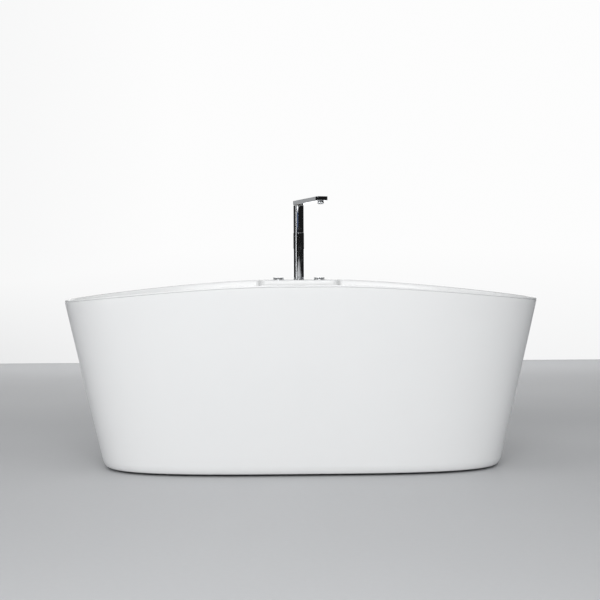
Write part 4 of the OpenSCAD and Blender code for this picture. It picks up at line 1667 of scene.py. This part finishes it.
@dataclass
class Valves:
    """The two turning knobs and the rings they stand on."""

    flutes: int = 24
    flute_depth: float = 0.0005
    edge: float = 0.0012
    dish: float = 0.0002
    spindle_r: float = 0.00402
    valve_r: float = 0.0133
    ring_past: float = 0.001

    def knob(self, node: str) -> Skin:
        """Turn one fluted knob with a dished top.

        Args:
            node: The model's knob that it stands for.

        Returns:
            The knob's skin.
        """
        low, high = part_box(node)
        radius = (high.x - low.x) / 2
        top, foot = high.z, low.z
        profile = [
            (self.spindle_r, foot),
            (radius - self.edge, foot),
            (radius, foot + 0.0008),
            (radius, top - self.dish),
            (radius - 0.0026, top),
            (0.0, top - self.dish),
            (0.0, top - 0.001),
            (self.spindle_r, top - 0.001),
        ]
        radii = [0, 0.0004, 0.0005, self.edge, 0.0006, 0, 0, 0]
        line = softened(profile, radii)

        def flute(turn: float, height: float) -> float:
            """Scallop the knob's side between its edges."""
            if not foot + 0.0009 < height < top - 0.0008:
                return 0.0
            return -self.flute_depth * max(0.0, math.cos(turn * self.flutes)) ** 3

        rows = [(radius, foot + 0.0011), (radius, foot + 0.0026), (radius, top - 0.0022)]
        at = next(i for i, (r, z) in enumerate(line) if r > radius - 1e-6 and z > foot + 0.0012)
        line[at:at] = rows
        return Skin().turned(line, 288, axis_place(node), flute)

    def build(self) -> None:
        """Make and dress the knobs and their rings."""
        for node, body in (("hot_knob", Body.HOT), ("cold_knob", Body.COLD)):
            name = node + "_fluted"
            add_piece(name, self.knob(node).mesh(name), TAP_CHROME, body, [node])
        low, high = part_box("valve_rings")
        skin = Skin()
        for node in ("hot_knob", "cold_knob"):
            left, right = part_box(node)
            radius, bore = (right.x - left.x) / 2 + self.ring_past, self.valve_r
            ring = [(bore, low.z), (radius, low.z), (radius, high.z), (bore, high.z)]
            skin.turned(softened(ring, [0, 0.0004, 0.0009, 0]), 128, axis_place(node))
        mesh = skin.mesh("knob_rings")
        add_piece("knob_rings", mesh, TAP_CHROME, Body.TUB, ["valve_rings"])


# ---- Waste and overflow -------------------------------------------------------------------------


@dataclass
class Waste:
    """The waste's flange and tail, and the pop-up stopper's crowned cap."""

    tail_r: float = 0.0239
    tail_in: float = 0.02
    seat_r: float = 0.0265
    stem_r: float = 0.0042
    crown: float = 0.0012
    crown_steps: int = 8

    def flange(self) -> bpy.types.Object:
        """Turn the flange with its seat and tail.

        Returns:
            The flange.
        """
        low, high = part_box("waste_body")
        rim = (high.x - low.x) / 2
        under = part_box("waste_gasket")[1].z
        body = [
            (self.tail_in, low.z),
            (self.tail_r, low.z),
            (self.tail_r, under),
            (rim, under),
            (rim, high.z - 0.0006),
            (rim - 0.004, high.z),
            (self.seat_r + 0.0015, high.z),
            (self.seat_r, high.z - 0.0006),
            (self.seat_r, under + 0.0005),
            (self.tail_in, under + 0.0005),
        ]
        radii = [0.0004, 0.0006, 0, 0.0003, 0.0008, 0.001, 0.0005, 0.0004, 0, 0.0003]
        mesh = Skin().turned(softened(body, radii), 128).mesh("waste_flange")
        return add_piece("waste_flange", mesh, TRIM_CHROME, Body.TUB, ["waste_body"])

    def cap(self) -> bpy.types.Object:
        """Turn the stopper's crowned cap.

        Returns:
            The cap.
        """
        low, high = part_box("stopper_cap")
        edge, foot, stem = (high.x - low.x) / 2, low.z, self.stem_r
        line: list[Point] = [
            (0.0, foot + 0.002),
            (stem, foot + 0.002),
            (stem, foot),
            (edge - 0.001, foot),
            (edge, foot + 0.001),
            (edge - 0.0006, foot + 0.0026),
        ]
        for k in range(self.crown_steps + 1):
            share = 1 - k / self.crown_steps
            line.append(((edge - 0.003) * share, high.z - self.crown * share**2))
        radii = [0, 0, 0.0003, 0.0005, 0.0006, 0.001, 0.0012] + [0] * self.crown_steps
        mesh = Skin().turned(softened(line, radii), 128).mesh("stopper_crown")
        return add_piece("stopper_crown", mesh, TRIM_CHROME, Body.STOPPER, ["stopper_cap"])

    def build(self) -> None:
        """Make and dress the flange and the cap."""
        self.flange()
        self.cap()


@dataclass
class Overflow:
    """The overflow's cover: a shallow cup with a slot along its lower edge."""

    basin: Basin
    radius: float = 0.032
    hollow: float = 0.0285
    stand: float = 0.0008
    height: float = 0.009
    screw_r: float = 0.0033
    head_r: float = 0.006
    head_h: float = 0.0022
    slot_w: float = 0.028
    slot_h: float = 0.0065
    slot_from: float = 0.02

    def build(self) -> None:
        """Make and dress the cover."""
        place = self.basin.overflow_place
        top = self.stand + self.height
        ceiling, shoulder = self.slot_h - 0.001, top - self.head_h
        cup = [
            (self.screw_r, shoulder),
            (self.screw_r, ceiling),
            (self.hollow, ceiling),
            (self.hollow, self.stand),
            (self.radius, self.stand),
            (self.radius, shoulder),
            (self.radius - 0.0035, top),
            (self.head_r + 0.0006, top),
            (self.head_r, top - 0.0004),
            (self.head_r, shoulder),
        ]
        radii = [0, 0.0003, 0.001, 0.0002, 0.0005, 0.0012, 0.002, 0.0004, 0.0003, 0]
        mesh = Skin().turned(softened(cup, radii), 128, place).mesh("cover")
        corner = Vector((-self.slot_w / 2, self.slot_from, -0.004))
        size = Vector((self.slot_w, 0.02, self.slot_h + 0.0035))
        slot = Skin().slab(corner, size, 0.0012, place)
        made = cut_away(mesh, [slot])
        add_piece("overflow_cup", made, TRIM_CHROME, Body.TUB, ["overflow_cover"])


# ---- Feet, frame and hidden works ---------------------------------------------------------------


@dataclass
class Feet:
    """The eight moulded pads under the frame, each with a ribbed edge and a flared skirt."""

    stations_x: tuple[float, ...] = (-0.45, -0.17, 0.17, 0.45)
    stations_y: tuple[float, ...] = (-0.225, 0.225)
    socket_r: float = 0.0061
    socket_depth: float = 0.004
    ribs: int = 30
    rib_depth: float = 0.0007

    def build(self) -> None:
        """Make and dress the pads."""
        low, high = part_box("foot_pads")
        radius = high.x - self.stations_x[-1]
        top = high.z
        profile = [
            (0.0, 0.0),
            (radius - 0.0008, 0.0),
            (radius, 0.0012),
            (radius, 0.0042),
            (radius - 0.004, top - 0.0022),
            (0.0105, top),
            (self.socket_r, top),
            (self.socket_r, top - self.socket_depth),
            (0.0, top - self.socket_depth),
        ]
        radii = [0, 0.0005, 0.0008, 0.0012, 0.003, 0.0012, 0.0004, 0, 0]

        def rib(turn: float, height: float) -> float:
            """Notch the pad's side into ribs."""
            if not 0.001 < height < 0.0052:
                return 0.0
            return -self.rib_depth * max(0.0, math.cos(turn * self.ribs)) ** 2

        skin = Skin()
        for x in self.stations_x:
            for y in self.stations_y:
                place = Matrix.Translation((x, y, low.z))
                skin.turned(softened(profile, radii, 3), 180, place, rib)
        mesh = skin.mesh("ribbed_pads")
        add_piece("ribbed_pads", mesh, PAD_RUBBER, Body.TUB, ["foot_pads"])


@dataclass
class HiddenWorks:
    """The model's own nodes that keep their shape: they get a finish and a softened edge."""

    edge: float = 0.0004
    finishes: dict[Slot, Finish] = field(
        default_factory=lambda: {
            Slot.BASIN: SHADED_BASIN_ACRYLIC,
            Slot.SKIRT: SKIRT_ACRYLIC,
            Slot.BOARD: PLYWOOD,
            Slot.FRAME: COAT,
            Slot.ZINC: ZINC,
            Slot.PAD: PAD_RUBBER,
            Slot.SEAL: SEAL_RUBBER,
            Slot.TRIM: TRIM_CHROME,
            Slot.TAP: TAP_CHROME,
            Slot.BRASS: BRASS,
            Slot.COPPER: COPPER,
            Slot.GREY: GREY_PLASTIC,
            Slot.WHITE: WHITE_PLASTIC,
            Slot.SLIP: SLIP_PLASTIC,
            Slot.RED: RED_ENAMEL,
            Slot.BLUE: BLUE_ENAMEL,
        }
    )

    def dress(self) -> None:
        """Give every node its finish, and round the edges of those still shown."""
        slots = {part["node"]: Slot(part["material_slot"]) for part in frame["record"]["subparts"]}
        for name, node in sorted(frame["nodes"].items()):
            finish = self.finishes[slots[name]]
            node.data.materials.clear()
            node.data.materials.append(finish.material())
            if node.hide_render:
                continue
            weld = node.modifiers.new("weld", "WELD")
            weld.merge_threshold = 0.000002
            bevel = node.modifiers.new("edge", "BEVEL")
            bevel.width, bevel.segments = self.edge, 2
            bevel.limit_method, bevel.angle_limit = "ANGLE", math.radians(50)
            bevel.harden_normals = False
            node.data.shade_smooth()
            log.info("%s: kept, %s", name, finish.name)


# ---- Studio -------------------------------------------------------------------------------------


@dataclass
class SoftBox:
    """One rectangular studio light."""

    name: str
    at: Vector
    towards: Vector
    size: Point
    watts: float
    colour: Colour = (1.0, 1.0, 1.0)

    def build(self) -> None:
        """Hang the light and point it."""
        lamp = bpy.data.lights.new(self.name, "AREA")
        lamp.shape = "RECTANGLE"
        lamp.size, lamp.size_y = self.size
        lamp.energy, lamp.color = self.watts, self.colour
        light = bpy.data.objects.new(self.name, lamp)
        light.location = self.at
        light.visible_camera = False
        light.rotation_mode = "QUATERNION"
        light.rotation_quaternion = (self.towards - self.at).to_track_quat("-Z", "Y")
        bpy.context.scene.collection.objects.link(light)


@dataclass
class Studio:
    """Grey floor running to a white backdrop, soft lights and a level camera facing the tub."""

    floor_end: float = 3.97
    floor_half: float = 24.0
    eye_h: float = 0.7717
    distance: float = 4.5
    sideways: float = -0.0035
    yaw: float = 0.0246
    roll: float = 0.0048
    lens: float = 74.12
    shift: float = -0.0851
    fill: float = 0.47

    def lay_floor(self) -> None:
        """Lay the floor, ending where the backdrop starts."""
        half, end = self.floor_half, self.floor_end
        corners = [(-half, -half, 0), (half, -half, 0), (half, end, 0), (-half, end, 0)]
        mesh = bpy.data.meshes.new("studio_floor")
        mesh.from_pydata(corners, [], [(0, 1, 2, 3)])
        mesh.materials.append(StudioFloor("studio_grey").material())
        floor = bpy.data.objects.new("studio_floor", mesh)
        bpy.context.scene.collection.objects.link(floor)

    def from_tap(self, left: float, away: float, height: float) -> Vector:
        """Return a place in front of the tap: degrees to its left, distance away and height."""
        aim, tap = math.radians(left), axis_place("column_lower").translation
        return Vector((tap.x, tap.y, height)) + Vector((-math.sin(aim), -math.cos(aim), 0)) * away

    def hang_lights(self) -> None:
        """Hang the soft lights, with the key light on the tub's open side."""
        face = Vector((0, -0.3, 0.35))
        SoftBox("key", Vector((-0.25, -4.5, 2.5)), face, (3.0, 1.5), 127).build()
        SoftBox("top", Vector((-0.2, -0.9, 3.2)), Vector((0, -0.4, 0)), (2.4, 1.6), 12).build()
        back = Vector((0, self.floor_end, 1.6))
        SoftBox("backdrop_bounce", back, Vector((0, 0.3, 0.5)), (5.0, 2.4), 13).build()
        skirting = Vector((0, self.floor_end, 0.5))
        SoftBox("backdrop_foot", skirting, Vector((0, 2.9, 0)), (6.0, 0.6), 14).build()
        # These three are weak, and hang there for the glints that they draw on the tap.
        strip, middle = self.from_tap(58, 3.4, 1.0), self.from_tap(0, 0, 0.85)
        SoftBox("strip", strip, middle, (0.3, 1.5), 5).build()
        window, head = self.from_tap(22, 3, 0.955), self.from_tap(22, 3, 1.03)
        arm = self.from_tap(0, 0, 0.96)
        SoftBox("window", window, arm, (0.9, 0.1), 0.1, (0.45, 0.6, 1.0)).build()
        SoftBox("window_head", head, arm, (1.1, 0.02), 0.22).build()

    @staticmethod
    def switched(
        graph: Graph, choice: Socket, first: bpy.types.Node, second: bpy.types.Node
    ) -> bpy.types.Node:
        """Add a switch between two shader nodes.

        Args:
            graph: The air's tree.
            choice: Zero for the first shader and one for the second.
            first: The first shader.
            second: The second shader.

        Returns:
            The switch.
        """
        made = graph.tree.nodes.new("ShaderNodeMixShader")
        for socket, value in zip(made.inputs, (choice, first.outputs[0], second.outputs[0])):
            graph.plug(socket, value)
        return made

    @staticmethod
    def gloss_surroundings(graph: Graph, way: Outputs) -> Socket:
        """Draw what gloss surfaces mirror: a dark room, pale panels and ceiling, the lit floor's end.

        Args:
            graph: The air's tree.
            way: The direction's X, Y and Z.

        Returns:
            The brightness in each direction.
        """
        backdrop = graph.ranged(way["Y"], 0.965, 0.985, 0.0, 0.9)
        aside = graph.math("ABSOLUTE", graph.math("ADD", way["X"], 0.76))
        beyond = graph.math("GREATER_THAN", way["Y"], 0.0)
        panel = graph.math("MULTIPLY", graph.ranged(aside, 0.035, 0.06, 0.5, 0.0), beyond)
        rising = graph.ranged(way["Z"], 0.1, 0.4, 1.0, 0.1)
        pale = graph.math("MULTIPLY", graph.math("MAXIMUM", backdrop, panel), rising)
        # The floor shows only on the open side, narrowing towards the horizon.
        below = graph.ranged(way["Z"], -0.0245, -0.007, 0.92, 0.0)
        past = graph.math("SUBTRACT", graph.math("ABSOLUTE", way["X"]), below)
        before = graph.math("LESS_THAN", way["Y"], 0.0)
        floor = graph.math("MULTIPLY", graph.ranged(past, -0.08, 0.02, 0.75, 0.0), before)
        floor = graph.math("MULTIPLY", floor, graph.math("LESS_THAN", way["Z"], -0.007))
        ceiling = graph.ranged(way["Z"], 0.5, 0.8, 0.0, 0.5)
        seen = graph.math("MAXIMUM", graph.math("MAXIMUM", pale, floor), ceiling)
        return graph.math("ADD", seen, 0.015)

    @staticmethod
    def backdrop_white(graph: Graph, way: Outputs) -> Socket:
        """Draw the white backdrop, with painted shade that makes it a little dimmer on the left and
        towards the floor.

        Args:
            graph: The air's tree.
            way: The direction's X, Y and Z.

        Returns:
            The backdrop's colour.
        """
        low = graph.ranged(way["Z"], -0.1, 0.0, 1.0, 0.0)
        left = graph.ranged(way["X"], -0.24, -0.08, 1.0, 0.0)
        shade = graph.math("MULTIPLY", low, graph.math("ADD", graph.math("MULTIPLY", left, 0.6), 0.4))
        painted_shade = graph.math("MAXIMUM", shade, graph.math("MULTIPLY", left, 0.28), clamp=True)
        return graph.mixed(painted_shade, (0.98, 0.98, 0.98), (0.78, 0.785, 0.79))

    def light_air(self) -> None:
        """Give the air a white look to the camera, a soft fill and dark surroundings for gloss."""
        world = bpy.data.worlds.new("studio_air")
        bpy.context.scene.world = world
        world.use_nodes = True
        world.node_tree.nodes.clear()
        graph = Graph(world.node_tree)
        way = graph.node("SeparateXYZ", Vector=graph.node("TexCoord").outputs["Generated"]).outputs
        seen = graph.node("Background", Color=self.backdrop_white(graph, way), Strength=1.0)
        fill = graph.node("Background", Color=(0.97, 0.985, 1.0), Strength=self.fill)
        glints = graph.node("Background", Strength=self.gloss_surroundings(graph, way))
        path = graph.node("LightPath").outputs
        unseen = self.switched(graph, path["Is Glossy Ray"], fill, glints)
        air = self.switched(graph, path["Is Camera Ray"], unseen, seen)
        graph.node("OutputWorld", Surface=air.outputs[0])

    def set_camera(self) -> None:
        """Stand the camera in front of the tub's open side."""
        data = bpy.data.cameras.new("camera")
        data.lens, data.sensor_width, data.shift_y = self.lens, 36.0, self.shift
        data.clip_start, data.clip_end = 0.05, 60.0
        camera = bpy.data.objects.new("camera", data)
        ahead = Vector((math.sin(self.yaw), math.cos(self.yaw), 0))
        right = Vector((math.cos(self.yaw), -math.sin(self.yaw), 0))
        up = Vector((0, 0, 1))
        turned = Matrix.Rotation(self.roll, 3, ahead)
        side, top = turned @ right, turned @ up
        basis = Matrix((side, top, -ahead)).transposed().to_4x4()
        spot = right * self.sideways - ahead * self.distance
        camera.matrix_world = Matrix.Translation((spot.x, spot.y, self.eye_h)) @ basis
        bpy.context.scene.collection.objects.link(camera)
        bpy.context.scene.camera = camera

    def build(self) -> None:
        """Set the floor, the lights, the air and the camera."""
        self.lay_floor()
        self.hang_lights()
        self.light_air()
        self.set_camera()
        bpy.context.scene.view_settings.view_transform = "Standard"


def main() -> None:
    """Build the tub, its tap, waste, overflow and feet, then dress what is kept and set the studio."""
    logging.basicConfig(level=logging.INFO, format="%(name)s %(message)s")
    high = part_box("basin")[1]
    form = TubForm(high.x, high.y, high.z)
    basin = Basin(form)
    basin.build()
    Skirt(form).build()
    Column().build()
    Spout().build()
    Valves().build()
    Waste().build()
    Overflow(basin).build()
    Feet().build()
    HiddenWorks().dress()
    Studio().build()


if __name__ == "__main__":
    main()
